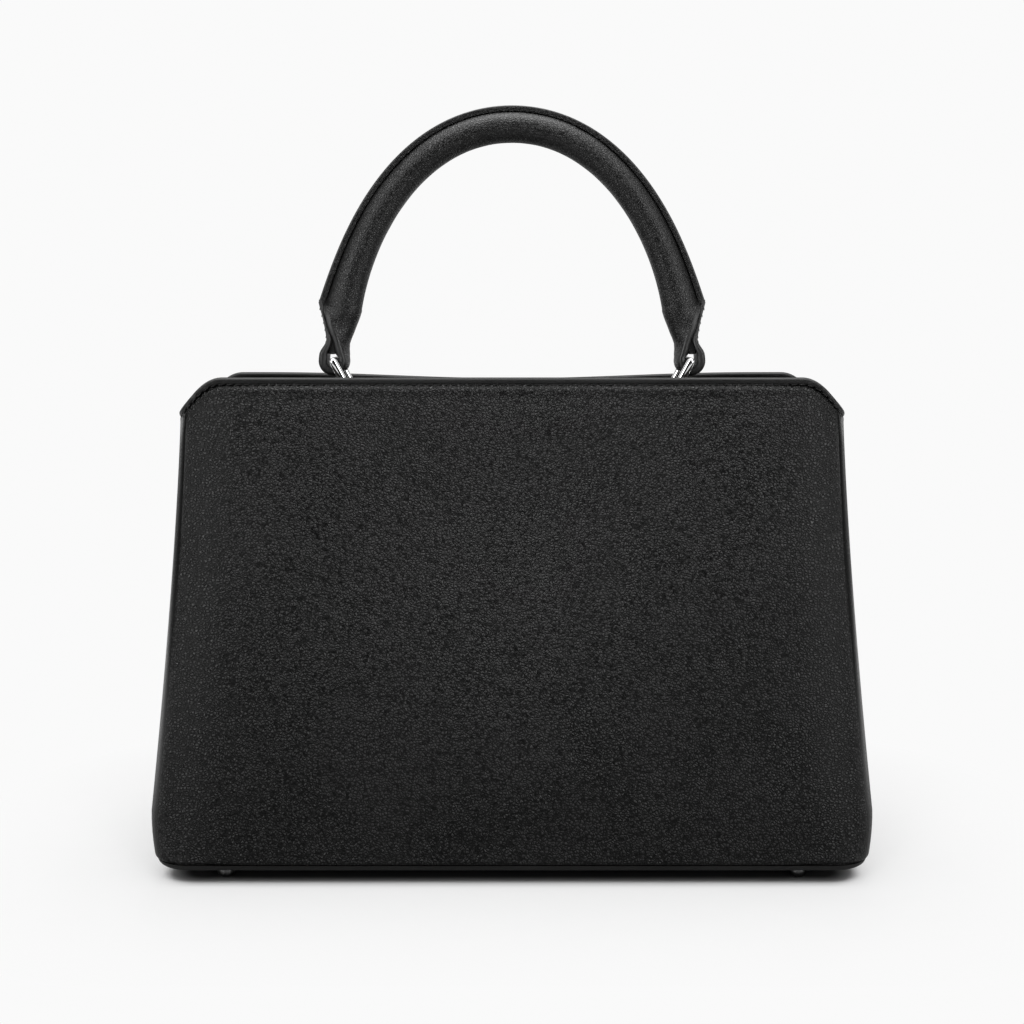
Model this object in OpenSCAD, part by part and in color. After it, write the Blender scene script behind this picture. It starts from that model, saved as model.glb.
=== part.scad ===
// Structured top handle bag with a rolled leather handle and a zipped centre pouch.
// Millimetres. Z is up, the feet stand on Z = 0 and the front faces -Y.

/* [Body] */
// Width at the widest place, just above the base
body_w = 331; // [280:1:380]
// Height of that widest place over the floor
widest_z = 30; // [24:1:50]
// Width at the shoulders, under the cut corners
shoulder_w = 308.2; // [270:0.2:320]
// Depth over the outer faces at the base
base_d = 150; // [120:1:180]
// Distance between the two rims at their ends
mouth_d = 60; // [52:1:80]
// Height of the rims over the floor
rim_z = 226.4; // [200:0.2:260]
// How far the walls tuck in sideways at the base seam
tuck = 5; // [0:0.5:8]
// How far the side edge curves out below the shoulders, as a power
flare_power = 1.5; // [1:0.1:2.5]
// How far front and back bow outwards at half height
belly = 1.5; // [0:0.5:4]
// Radius of the upright corners at the base
corner_low_r = 18; // [12:1:26]
// Radius of the upright corners at the rim
corner_top_r = 12; // [9:1:16]
// Half width at which the cut corner would meet the rim
cut_x = 140; // [125:0.5:144]
// Length over which that corner is rounded, each way
cut_round = 6.5; // [2:0.5:10]
// Slope of the cut corner
cut_angle = 48; // [30:1:60]

/* [Mouth] */
// How far each rim is drawn in at its middle by the snap
pinch = 12.5; // [8:0.5:14]
// Half length of the rim that is drawn in
pinch_half_w = 130; // [100:1:136]
// Height at which the draw starts
pinch_low_z = 40; // [20:5:100]
// Height from which the draw is full
pinch_full_z = 200; // [180:1:210]
// How far the front rim drops at its middle
front_dip = 0.6; // [0:0.1:3]
// How far the back rim drops at its middle
back_dip = 2.4; // [0:0.1:4]

/* [Leather and boards] */
// Thickness of the outer leather
leather_t = 1.6; // [1.2:0.1:2.2]
// Thickness of the stiffening boards in the walls
board_t = 1; // [0.8:0.1:1.6]
// Thickness of the lining
lining_t = 0.8; // [0.6:0.1:1.2]
// Thickness of the binding over the rim
binding_t = 0.6; // [0.4:0.1:1]
// Height of the binding on the outer face
binding_h = 2.6; // [2:0.1:5]
// Thickness of the lined side gussets
gusset_t = 2; // [1.4:0.1:2.6]
// How deep the gusset folds in at its top
pleat = 30; // [20:1:36]
// How fast the fold deepens towards the top, as a power
pleat_power = 1.3; // [1:0.1:2]
// How much lower the gusset's fold is than its edges
gusset_dip = 6; // [0:0.5:12]

/* [Base] */
// Thickness of the leather base panel
base_t = 2.4; // [1.8:0.1:3.2]
// Thickness of the base board
base_board_t = 2; // [1.5:0.1:3]
// Gap between the base board and the walls' bottom edges
base_inset = 1; // [0.5:0.1:3]

/* [Feet] */
// Height of a foot under the base panel
foot_h = 7; // [4:0.5:10]
// Radius of a foot where it meets the base
foot_r = 4.6; // [3.5:0.1:6]
// Radius of its flat sole
sole_r = 3.4; // [2.5:0.1:3.5]
// Radius of its shank
shank_r = 1.8; // [1.4:0.1:2.4]
// Distance of the feet from the base's side edges
foot_side_in = 29.5; // [24:0.5:40]
// Distance of the feet from the base's front and back edges
foot_face_in = 15; // [13:0.5:20]
// Radius of the nut plates inside
nut_r = 6; // [5:0.5:9]
// Thickness of the nut plates inside
nut_t = 1; // [0.8:0.1:1.5]

/* [Centre pouch] */
// Thickness of the pouch over its faces
pouch_d = 26; // [24:0.5:28]
// Thickness of the pouch's lined faces
pouch_skin_t = 1; // [0.8:0.1:1.4]
// Thickness of the boards in the pouch
pouch_board_t = 1.2; // [1:0.1:1.6]
// Thickness of the strip round the pouch's sides and bottom
pouch_strip_t = 1.2; // [0.8:0.1:1.6]
// Thickness of the pouch's leather top
pouch_top_t = 1.6; // [1.2:0.1:2]
// Thickness of the plates that carry the handle tabs
anchor_t = 1.8; // [1.2:0.1:2.5]

/* [Zip] */
// Distance from the zip's slot to the middle of a ring's lower bar
zip_end_in = 8.25; // [7.5:0.25:16]
// Width of the slot in the pouch's top
slot_w = 9.4; // [9:0.1:11]
// Width of one tape
tape_w = 8; // [6.5:0.5:9]
// Thickness of the tapes
tape_t = 0.5; // [0.4:0.1:0.7]
// Distance from one tooth to the next in a row
tooth_pitch = 2.4; // [2:0.1:3]
// Height of the teeth
tooth_h = 1.8; // [1.5:0.1:2]
// Length of the slider
slider_len = 11; // [9:0.5:13]
// Width of the slider
slider_w = 8.2; // [7.5:0.1:8.4]
// Thickness of the slider's two plates
slider_plate_t = 1; // [0.8:0.1:1.3]
// Length of the puller
puller_len = 24; // [16:1:30]
// Width of the puller
puller_w = 6.5; // [6:0.5:9]
// Thickness of the puller
puller_t = 1.4; // [1:0.1:1.6]

/* [Snaps] */
// Radius of the magnetic snaps
snap_r = 7; // [5:0.5:9]
// Thickness of each half
snap_t = 2.2; // [1.8:0.1:2.4]
// Height of their centres
snap_z = 200; // [196:1:202]

/* [Rings and tabs] */
// Distance between the two bars that a ring's straps go round
ring_pitch = 18; // [16:0.5:22]
// Clear width inside a ring
ring_inner_w = 20.8; // [19.8:0.2:24]
// Width of a ring's bars in its own plane
ring_bar_w = 3.2; // [2.8:0.1:3.6]
// Thickness of a ring
ring_t = 4; // [3.2:0.1:4.2]
// Radius of a ring's outer corners
ring_corner_r = 1.4; // [0.8:0.1:2]
// How far the rings lean outwards
ring_tilt = 28; // [20:1:34]
// Distance of the ring's upper bar from the shoulder
ring_side_in = 69.9; // [64:0.1:80]
// Height of the ring's upper bar
ring_top_z = 233.2; // [232:0.2:240]
// Radius of the eye in a tab
tab_eye_r = 2.9; // [2.8:0.1:3.2]
// Thickness of a tab's leather
tab_t = 2.2; // [1.8:0.1:2.4]
// Width of the tabs
tab_w = 18; // [14:0.5:19]
// Length of a tab from the ring's bar outwards
tab_len = 36; // [32:1:40]
// Length in which a tab's upper layer comes down on the lower one
tab_rise = 14; // [11:1:16]
// Radius of the rivets' shanks
rivet_r = 1.5; // [1.2:0.1:1.8]
// Radius of the rivets' heads
rivet_head_r = 3.4; // [3:0.1:4]
// Thickness of the rivets' heads
rivet_head_t = 1; // [0.8:0.1:1.4]

/* [Handle] */
// Height of the roll's centre at the top of the handle
grip_z = 341.8; // [330:0.2:360]
// Length of the flat stretch of curve at the top, as a share of the half width
grip_flat_share = 0.548; // [0.46:0.002:0.6]
// How far the roll's lower ends stand inwards of the rings' upper bars
grip_end_in = 5.5; // [3.2:0.1:8]
// Height of the roll's lower ends
grip_end_z = 257.9; // [256:0.1:262]
// How far the ends splay sideways over their upright stretch
grip_splay = 7.6; // [4:0.1:12]
// Length of that upright stretch
grip_rise = 40.8; // [34:0.2:46]
// Radius of the leather roll
roll_r = 7; // [6:0.1:8]
// Radius of the rope inside
rope_r = 5; // [4:0.1:5]
// Height of the sewn flange over the roll's centre
flange_h = 10.1; // [9:0.1:11]
// Height of the flange at its lower tips
flange_tip_h = 12.4; // [11:0.1:13]
// Thickness of the flange
flange_t = 3.4; // [2.6:0.1:4]
// Width of the end straps
strap_w = 18; // [14:0.5:19]
// Radius of a strap's eye
strap_eye_r = 3.4; // [3.2:0.1:3.6]
// Thickness of the strap round its eye
strap_t = 3.4; // [2.6:0.1:3.6]
// Width of the neck over the eye
neck_w = 11.4; // [9:0.2:12]
// Height of the neck over the eye's centre
neck_rise = 9.7; // [8:0.1:10.5]
// How far the neck's middle stands inwards of the ring's upper bar
neck_in = 2.5; // [0.2:0.1:4.2]

/* [Fits] */
// Gap between soft layers that lie on each other
layer_gap = 0.2; // [0.1:0.05:0.3]
// Gap between soft pieces that are sewn edge to edge
seam_gap = 0.3; // [0.2:0.05:0.4]
// Clearance of shanks in their holes
shank_gap = 0.2; // [0.1:0.05:0.3]
// Clearance round the zip's moving pieces
zip_gap = 0.25; // [0.2:0.05:0.3]

/* [Hidden] */
$fn = 48;

leather_colour = "#1c1c1d";
edge_colour = "#0e0e0f";
lining_colour = "#33302c";
board_colour = "#6b6256";
steel_colour = "#c9cacc";
rope_colour = "#cfc6b2";

// Heights of the base's layers and of the seam above it
base_top_z = foot_h + base_t;
seam_z = base_top_z + seam_gap;
board_z = base_top_z + layer_gap;
floor_lining_z = board_z + base_board_t + layer_gap + nut_t + layer_gap;
floor_top_z = floor_lining_z + lining_t;

// The walls' layers, as depths under the outer face
board_in = leather_t + layer_gap;
lining_in = board_in + board_t + layer_gap;
wall_t = lining_in + lining_t;
notch_drop = (shoulder_w / 2 - cut_x) * tan(cut_angle);
notch_z = rim_z - notch_drop;

// Shares of the wall's height, and steps across a wall and round its corners
height_shares = [0, 0.03, 0.09, 0.2, 0.36, 0.54, 0.72, 0.87, 1];
face_steps = 8;
corner_steps = 4;

function clamp01(v) = min(1, max(0, v));
function smooth(v) = let (c = clamp01(v)) c * c * (3 - 2 * c);
function mix(a, b, v) = a + (b - a) * v;
function rise(z) = (z - seam_z) / (rim_z - seam_z);

// Half width, half depth and corner radius of the body at a height
function half_w(z) = z < widest_z
    ? body_w / 2 - tuck * pow((widest_z - z) / (widest_z - seam_z), 3)
    : mix(shoulder_w / 2, body_w / 2,
        pow(clamp01((notch_z - z) / (notch_z - widest_z)), flare_power));
function half_d(z) = mix(base_d, mouth_d, rise(z)) / 2 + 4 * belly * rise(z) * (1 - rise(z));
function corner_r(z) = mix(corner_low_r, corner_top_r, rise(z));

// How far a wall is drawn in at a place, as a share of the full draw
function draw_across(x) = pow(clamp01(1 - pow(x / pinch_half_w, 2)), 3);
function draw(x, z) = draw_across(x) * smooth((z - pinch_low_z) / (pinch_full_z - pinch_low_z));

// Drop of the rim at the cut corners
function cut_drop(x) = let (d = abs(x) - cut_x)
    tan(cut_angle) * (d < -cut_round ? 0 : d > cut_round ? d : pow(d + cut_round, 2) / (4 * cut_round));
function rim_at(x, dip) = rim_z - cut_drop(x) - dip * draw_across(x);

// Columns of a wall: [share of the flat face, angle round the corner], left to right
wall_columns = concat(
    [for (j = [corner_steps:-1:1]) [-1, -90 * j / corner_steps]],
    [for (i = [-face_steps:face_steps]) [sin(90 * i / face_steps), 0]],
    [for (j = [1:corner_steps]) [1, 90 * j / corner_steps]]);

// A point on a wall at a column, a height and a depth under the outer face
function wall_xy(col, z, inset) = let (
        r = corner_r(z),
        x = col[0] * (half_w(z) - r) + (r - inset) * sin(col[1]),
        y = -(half_d(z) - r) - (r - inset) * cos(col[1]) + pinch * draw(x, z))
    [x, y];
function column_top(col, dip) = rim_at(wall_xy(col, rim_z, 0)[0], dip);
function wall_grid(inset, top_gap, dip) = [for (s = height_shares)
    [for (col = wall_columns) let (
            z = mix(seam_z, column_top(col, dip) - top_gap, s),
            p = wall_xy(col, z, inset))
        [p[0], p[1], z]]];

// Two triangles for four corners, so that each side of a thin wall bends along the same diagonal
function quad(a, b, c, d) = [[a, b, c], [a, c, d]];

// A closed solid between two grids of points, each given row by row
module skin(outer, inner) {
    rows = len(outer);
    cols = len(outer[0]);
    n = rows * cols;
    last = (rows - 1) * cols;
    right = cols - 1;
    faces = concat(
        [for (i = [0:rows - 2], j = [0:cols - 2]) let (a = i * cols + j)
            each quad(a, a + cols, a + cols + 1, a + 1)],
        [for (i = [0:rows - 2], j = [0:cols - 2]) let (a = n + i * cols + j)
            each quad(a, a + 1, a + cols + 1, a + cols)],
        [for (j = [0:cols - 2]) each quad(j, j + 1, n + j + 1, n + j)],
        [for (j = [0:cols - 2]) each quad(last + j, n + last + j, n + last + j + 1, last + j + 1)],
        [for (i = [0:rows - 2]) let (a = i * cols) each quad(a, n + a, n + a + cols, a + cols)],
        [for (i = [0:rows - 2]) let (a = i * cols + right) each quad(a, a + cols, n + a + cols, n + a)]);
    polyhedron(
        points = concat([for (row = outer) each row], [for (row = inner) each row]),
        faces = faces);
}

// A closed solid swept through rings of points. Its ends are closed by strips from side to side.
module sweep(rings) {
    n = len(rings[0]);
    m = len(rings);
    e = (m - 1) * n;
    half = n / 2;
    faces = concat(
        [for (i = [0:m - 2], j = [0:n - 1]) let (a = i * n, k = (j + 1) % n)
            each quad(a + j, a + k, a + n + k, a + n + j)],
        [for (j = [0:half - 2]) each quad(j + 1, j, n - 1 - j, n - 2 - j)],
        [for (j = [0:half - 2]) each quad(e + j, e + j + 1, e + n - 2 - j, e + n - 1 - j)]);
    polyhedron(points = [for (ring = rings) each ring], faces = faces);
}

// A closed tube swept through rings of points, with an inner ring for each outer one
module sweep_tube(outer, inner) {
    n = len(outer[0]);
    m = len(outer);
    t = n * m;
    e = (m - 1) * n;
    faces = concat(
        [for (i = [0:m - 2], j = [0:n - 1]) let (a = i * n, k = (j + 1) % n)
            each quad(a + j, a + k, a + n + k, a + n + j)],
        [for (i = [0:m - 2], j = [0:n - 1]) let (a = t + i * n, k = (j + 1) % n)
            each quad(a + k, a + j, a + n + j, a + n + k)],
        [for (j = [0:n - 1]) let (k = (j + 1) % n) each quad(k, j, t + j, t + k)],
        [for (j = [0:n - 1]) let (k = (j + 1) % n) each quad(e + j, e + k, t + e + k, t + e + j)]);
    polyhedron(
        points = concat([for (ring = outer) each ring], [for (ring = inner) each ring]),
        faces = faces);
}

// An outline drawn in X and Z, made solid from one Y to another
module slab_y(y0, y1) {
    translate([0, y1, 0])
        rotate([90, 0, 0])
            linear_extrude(y1 - y0)
                children();
}

// Front and back walls
module wall_layer(depth, thick, dip) {
    top_gap = binding_t + 2 * layer_gap;
    skin(wall_grid(depth, top_gap, dip), wall_grid(depth + thick, top_gap, dip));
}

module wall_binding(dip) {
    out = binding_t;
    slack = layer_gap;
    // Depth and drop of the corners of the binding's channel, from its outer lower edge
    corners = [[-out, binding_h], [-out, 0], [wall_t + out, 0], [wall_t + out, binding_h],
        [wall_t + slack, binding_h], [wall_t + slack, out], [-slack, out], [-slack, binding_h]];
    sweep([for (col = wall_columns) let (top = column_top(col, dip))
        [for (c = corners) let (z = top - c[1], p = wall_xy(col, z, c[0])) [p[0], p[1], z]]]);
}

module front_panel() { color(leather_colour) wall_layer(0, leather_t, front_dip); }
module front_board() { color(board_colour) wall_layer(board_in, board_t, front_dip); }
module front_lining() { color(lining_colour) wall_layer(lining_in, lining_t, front_dip); }
module front_binding() { color(edge_colour) wall_binding(front_dip); }
module back_panel() { color(leather_colour) mirror([0, 1, 0]) wall_layer(0, leather_t, back_dip); }
module back_board() { color(board_colour) mirror([0, 1, 0]) wall_layer(board_in, board_t, back_dip); }
module back_lining() { color(lining_colour) mirror([0, 1, 0]) wall_layer(lining_in, lining_t, back_dip); }
module back_binding() { color(edge_colour) mirror([0, 1, 0]) wall_binding(back_dip); }

// Side gussets, each from a wall's edge to the fold in the middle of the side
gusset_shares = [0, 0.34, 0.67, 1];
function pleat_in(z) = pleat * pow(clamp01((z - seam_z) / (notch_z - seam_z)), pleat_power);
function gusset_start(z) = [half_w(z), -(half_d(z) - corner_r(z)) + seam_gap];
function gusset_end(z) = [half_w(z) - pleat_in(z), -seam_gap / 2];
function gusset_pt(z, w, depth) = let (
        a = gusset_start(z),
        d = gusset_end(z) - a)
    a + d * w + depth * mix([-1, 0], [-d[1], d[0]] / norm(d), w);
function gusset_grid(depth) = [for (s = height_shares)
    [for (w = gusset_shares) let (
            z = mix(seam_z, notch_z - gusset_dip * smooth(w), s),
            p = gusset_pt(z, w, depth))
        [p[0], p[1], z]]];
module gusset_half() {
    color(leather_colour) skin(gusset_grid(0), gusset_grid(gusset_t));
}
module gusset_right_front() { gusset_half(); }
module gusset_right_back() { mirror([0, 1, 0]) gusset_half(); }
module gusset_left_front() { mirror([1, 0, 0]) gusset_half(); }
module gusset_left_back() { mirror([1, 0, 0]) mirror([0, 1, 0]) gusset_half(); }

// Base
module base_outline(inset) {
    r = corner_r(seam_z);
    x = half_w(seam_z);
    y = half_d(seam_z);
    hull()
        for (sx = [-1, 1], sy = [-1, 1])
            translate([sx * (x - r), sy * (y - r)])
                circle(r = r - inset);
}

foot_x = half_w(seam_z) - foot_side_in;
foot_y = half_d(seam_z) - foot_face_in;
module at_feet() {
    for (sx = [-1, 1], sy = [-1, 1])
        translate([sx * foot_x, sy * foot_y, 0])
            children();
}

module base_panel() {
    color(leather_colour)
        difference() {
            translate([0, 0, foot_h])
                linear_extrude(base_t)
                    base_outline(0);
            at_feet()
                cylinder(r = shank_r + shank_gap, h = seam_z);
        }
}

module base_board() {
    color(board_colour)
        difference() {
            translate([0, 0, board_z])
                linear_extrude(base_board_t)
                    base_outline(wall_t + base_inset);
            at_feet()
                cylinder(r = shank_r + shank_gap, h = floor_top_z);
        }
}

module base_lining() {
    color(lining_colour)
        translate([0, 0, floor_lining_z])
            linear_extrude(lining_t)
                base_outline(wall_t + base_inset);
}

module foot() {
    // Radius and height of the foot's round edges
    edge = foot_r - sole_r;
    rotate_extrude()
        union() {
            polygon([[0, 0], [sole_r, 0], [foot_r, edge], [foot_r, foot_h], [0, foot_h]]);
            square([shank_r, board_z + base_board_t]);
        }
}
module feet() { color(steel_colour) at_feet() foot(); }
module foot_nuts() {
    color(steel_colour)
        at_feet()
            translate([0, 0, board_z + base_board_t])
                cylinder(r = nut_r, h = nut_t);
}

// Centre pouch. Its top carries the handle's tabs.
ring_top_x = shoulder_w / 2 - ring_side_in;
ring_low_x = ring_top_x - ring_pitch * sin(ring_tilt);
ring_low_z = ring_top_z - ring_pitch * cos(ring_tilt);
pouch_top_z = ring_low_z - tab_eye_r - tab_t - layer_gap;
pouch_face_z = pouch_top_z - pouch_top_t - layer_gap;
pouch_low_z = floor_top_z + layer_gap;
pouch_y = pouch_d / 2;
pouch_board_y = pouch_y - pouch_skin_t - layer_gap;
pouch_strip_y = pouch_board_y - pouch_board_t - layer_gap;
pouch_height_shares = [0, 0.1, 0.3, 0.5, 0.7, 0.9, 1];
function pouch_x(z) = half_w(z) - pleat_in(z) - gusset_t - seam_gap - pouch_strip_t;
function pouch_side(inset) = [for (s = pouch_height_shares)
    let (z = mix(pouch_low_z, pouch_face_z, s)) [pouch_x(z) - inset, z]];
module pouch_outline(inset) {
    side = pouch_side(inset);
    n = len(side) - 1;
    polygon(concat(side, [for (i = [n:-1:0]) [-side[i][0], side[i][1]]]));
}
module pouch_skin() {
    color(leather_colour) slab_y(-pouch_y, -pouch_y + pouch_skin_t) pouch_outline(0);
}
module pouch_board() {
    color(board_colour) slab_y(-pouch_board_y, -pouch_board_y + pouch_board_t) pouch_outline(pouch_strip_t);
}
module pouch_front() { pouch_skin(); }
module pouch_back() { mirror([0, 1, 0]) pouch_skin(); }
module pouch_board_front() { pouch_board(); }
module pouch_board_back() { mirror([0, 1, 0]) pouch_board(); }

module pouch_strip() {
    color(lining_colour)
        slab_y(-pouch_strip_y, pouch_strip_y)
            difference() {
                pouch_outline(0);
                translate([0, pouch_strip_t])
                    pouch_outline(pouch_strip_t);
            }
}

top_half_len = pouch_x(pouch_face_z);
module pouch_top() {
    color(leather_colour)
        difference() {
            translate([-top_half_len, -pouch_y, pouch_face_z + layer_gap])
                cube([2 * top_half_len, pouch_d, pouch_top_t]);
            translate([-zip_len / 2 - slider_len / 2, -slot_w / 2, 0])
                cube([zip_len + slider_len, slot_w, rim_z]);
            at_rivets()
                cylinder(r = rivet_r + shank_gap, h = rim_z);
        }
}

// Handle tabs, their plates and rivets
rivet_share = 0.55;
rivet_x_near = ring_low_x + mix(tab_rise, tab_len, rivet_share / 2);
rivet_x_far = ring_low_x + mix(tab_rise, tab_len, (1 + rivet_share) / 2);
anchor_z = pouch_face_z - anchor_t;
tab_top_z = ring_low_z - tab_eye_r + tab_t;

module at_rivets() {
    for (side = [-1, 1], x = [rivet_x_near, rivet_x_far])
        translate([side * x, 0, 0])
            children();
}

module anchor_plates() {
    plate_len = tab_len - tab_rise;
    color(steel_colour)
        difference() {
            for (side = [-1, 1])
                translate([side * (ring_low_x + tab_rise + plate_len / 2), 0, anchor_z + anchor_t / 2])
                    cube([plate_len, tab_w, anchor_t], center = true);
            at_rivets()
                cylinder(r = rivet_r + shank_gap, h = rim_z);
        }
}

module tab_rivets() {
    shank_low = anchor_z - rivet_head_t;
    color(steel_colour)
        at_rivets() {
            translate([0, 0, shank_low])
                cylinder(r = rivet_head_r, h = rivet_head_t);
            translate([0, 0, shank_low])
                cylinder(r = rivet_r, h = tab_top_z + rivet_head_t - shank_low);
            translate([0, 0, tab_top_z])
                cylinder(r1 = rivet_head_r, r2 = rivet_head_r - rivet_head_t / 2, h = rivet_head_t);
        }
}

module tab_profile() {
    outer_r = tab_eye_r + tab_t;
    difference() {
        union() {
            circle(r = outer_r);
            polygon([[0, -outer_r], [tab_len, -outer_r], [tab_len, tab_t - tab_eye_r],
                [tab_rise, tab_t - tab_eye_r], [0, outer_r]]);
        }
        circle(r = tab_eye_r);
        polygon([[0, -tab_eye_r], [tab_rise, -tab_eye_r], [0, tab_eye_r]]);
    }
}

module tab() {
    color(leather_colour)
        difference() {
            slab_y(-tab_w / 2, tab_w / 2)
                translate([ring_low_x, ring_low_z])
                    tab_profile();
            at_rivets()
                cylinder(r = rivet_r + shank_gap, h = rim_z);
        }
}
module handle_tab_right() { tab(); }
module handle_tab_left() { mirror([1, 0, 0]) tab(); }

// Zip along the pouch's top. The chain lies just under the leather.
tape_z = pouch_face_z + layer_gap - seam_gap - tape_t;
chain_z = tape_z + tape_t / 2;
tooth_low_z = chain_z - tooth_h / 2;
tooth_top_z = chain_z + tooth_h / 2;
tooth_back_share = 0.2;
tooth_reach_share = 0.6;
tooth_back = tape_w * tooth_back_share;
tooth_reach = tooth_back * tooth_reach_share;
tooth_w = tooth_pitch / 2 - zip_gap / 2;
tape_y = tooth_back + zip_gap;

zip_len = 2 * (ring_low_x - zip_end_in) - slider_len;

// The slider rests against the stop at the closed end, with its wedge past the last teeth
slider_x = (zip_len - slider_len) / 2 - zip_gap;
wedge_x = slider_x + slider_len / 2 - slider_plate_t;
tooth_count = floor((zip_len / 2 + wedge_x - zip_gap) / tooth_pitch);

module zip_tapes() {
    color(edge_colour)
        for (side = [-1, 1])
            translate([0, side * (tape_y + tape_w / 2), chain_z])
                cube([zip_len + 2 * stop_len, tape_w, tape_t], center = true);
}

module tooth_row(shift) {
    start = shift - zip_len / 2;
    spine_len = tooth_count * tooth_pitch - tooth_pitch / 2;
    spine_w = tooth_back - tooth_reach - zip_gap;
    translate([0, 0, tooth_low_z])
        linear_extrude(tooth_h)
            union() {
                translate([start, tooth_reach + zip_gap])
                    square([spine_len, spine_w]);
                for (i = [0:tooth_count - 1])
                    translate([start + i * tooth_pitch, -tooth_reach])
                        square([tooth_w, tooth_back + tooth_reach]);
            }
}
module zip_teeth() {
    color(steel_colour) {
        tooth_row(0);
        mirror([0, 1, 0]) tooth_row(tooth_pitch / 2);
    }
}

stop_len = tooth_pitch;
module zip_stops() {
    color(steel_colour)
        for (side = [-1, 1])
            translate([side * (zip_len + stop_len) / 2, 0, chain_z])
                cube([stop_len, 2 * tape_y, tooth_h], center = true);
}

slider_low_z = tooth_low_z - zip_gap - slider_plate_t;
slider_top_z = tooth_top_z + zip_gap;
bridge_h = puller_t + 2 * zip_gap + slider_plate_t;
bridge_len_share = 0.6;
bridge_len = slider_len * bridge_len_share;
puller_z = slider_top_z + slider_plate_t + zip_gap + puller_t / 2;

module zip_slider() {
    side_y = slider_w / 2;
    color(steel_colour)
        translate([slider_x, 0, 0]) {
            for (z = [slider_low_z, slider_top_z])
                translate([-slider_len / 2, -side_y, z])
                    cube([slider_len, slider_w, slider_plate_t]);
            translate([wedge_x - slider_x, -slider_plate_t, slider_low_z])
                cube([slider_plate_t, 2 * slider_plate_t, slider_top_z + slider_plate_t - slider_low_z]);
            for (end = [-1, 1])
                translate([end * (bridge_len - slider_plate_t) / 2 - slider_plate_t / 2,
                    -slider_plate_t, slider_top_z + slider_plate_t])
                    cube([slider_plate_t, 2 * slider_plate_t, bridge_h]);
            translate([-bridge_len / 2, -slider_plate_t, slider_top_z + bridge_h])
                cube([bridge_len, 2 * slider_plate_t, slider_plate_t]);
        }
}

// The puller lies towards the middle of the bag; its round bar turns under the bridge
module zip_puller() {
    bar_half = puller_w / 2;
    frame_len = bridge_len;
    color(steel_colour)
        translate([slider_x, 0, puller_z]) {
            rotate([90, 0, 0])
                cylinder(r = puller_t / 2, h = puller_w, center = true);
            difference() {
                translate([-puller_len, -bar_half, -puller_t / 2])
                    cube([puller_len, puller_w, puller_t]);
                translate([-frame_len, -slider_plate_t - zip_gap, -puller_t])
                    cube([2 * frame_len, 2 * (slider_plate_t + zip_gap), 2 * puller_t]);
                translate([-puller_len + bar_half, 0, -puller_t])
                    cylinder(r = bar_half / 2, h = 2 * puller_t);
            }
        }
}

// Magnetic snaps: sockets on the pouch, studs on the walls
snap_edge_z = snap_z + snap_r;
wall_in_y = half_d(snap_edge_z) - pinch * draw(0, snap_edge_z) - wall_t;
module snap_disc(y0, y1) {
    translate([0, y1, snap_z])
        rotate([90, 0, 0])
            cylinder(r = snap_r, h = y1 - y0);
}
module snap_sockets() {
    color(steel_colour)
        for (side = [0, 1])
            mirror([0, side, 0])
                snap_disc(-pouch_y - layer_gap - snap_t, -pouch_y - layer_gap);
}
module wall_snap() {
    color(steel_colour)
        snap_disc(layer_gap - wall_in_y, -(pouch_y + 2 * layer_gap + snap_t));
}
module front_snap() { wall_snap(); }
module back_snap() { mirror([0, 1, 0]) wall_snap(); }

// Rings
module ring_outline(grow, corner) {
    x = ring_inner_w / 2 + grow;
    y = (ring_pitch - ring_bar_w) / 2 + grow;
    hull()
        for (sx = [-1, 1], sy = [-1, 1])
            translate([sx * (x - corner), sy * (y - corner)])
                circle(r = corner);
}
module ring() {
    color(steel_colour)
        translate([(ring_low_x + ring_top_x) / 2, 0, (ring_low_z + ring_top_z) / 2])
            rotate([0, ring_tilt, 0])
                rotate([90, 0, 90])
                    translate([0, 0, -ring_t / 2])
                        linear_extrude(ring_t)
                            difference() {
                                ring_outline(ring_bar_w, ring_corner_r);
                                ring_outline(0, ring_corner_r / 2);
                            }
}
module ring_right() { ring(); }
module ring_left() { mirror([1, 0, 0]) ring(); }

// Handle. Half of its centre line is one smooth curve of four control points.
grip_steps = 18;
grip_end_x = ring_top_x - grip_end_in;
grip_points = [[0, grip_z], [grip_flat_share * grip_end_x, grip_z],
    [grip_end_x - grip_splay, grip_end_z + grip_rise], [grip_end_x, grip_end_z]];
function curve_at(p, t) = pow(1 - t, 3) * p[0] + 3 * pow(1 - t, 2) * t * p[1]
    + 3 * (1 - t) * t * t * p[2] + pow(t, 3) * p[3];
function curve_way(p, t) = let (d = pow(1 - t, 2) * (p[1] - p[0])
        + 2 * (1 - t) * t * (p[2] - p[1]) + t * t * (p[3] - p[2])) d / norm(d);
// A place on the handle, s from -1 to 1: [x, z, outward x, outward z]
function grip_at(s) = let (
        side = s < 0 ? -1 : 1,
        c = curve_at(grip_points, abs(s)),
        w = curve_way(grip_points, abs(s)))
    [side * c[0], c[1], -side * w[1], w[0]];
function grip_ring(s, profile) = let (g = grip_at(s))
    [for (p = profile) [g[0] + g[2] * p[0], p[1], g[1] + g[3] * p[0]]];
grip_stations = [for (i = [-grip_steps:grip_steps]) i / grip_steps];

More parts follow.
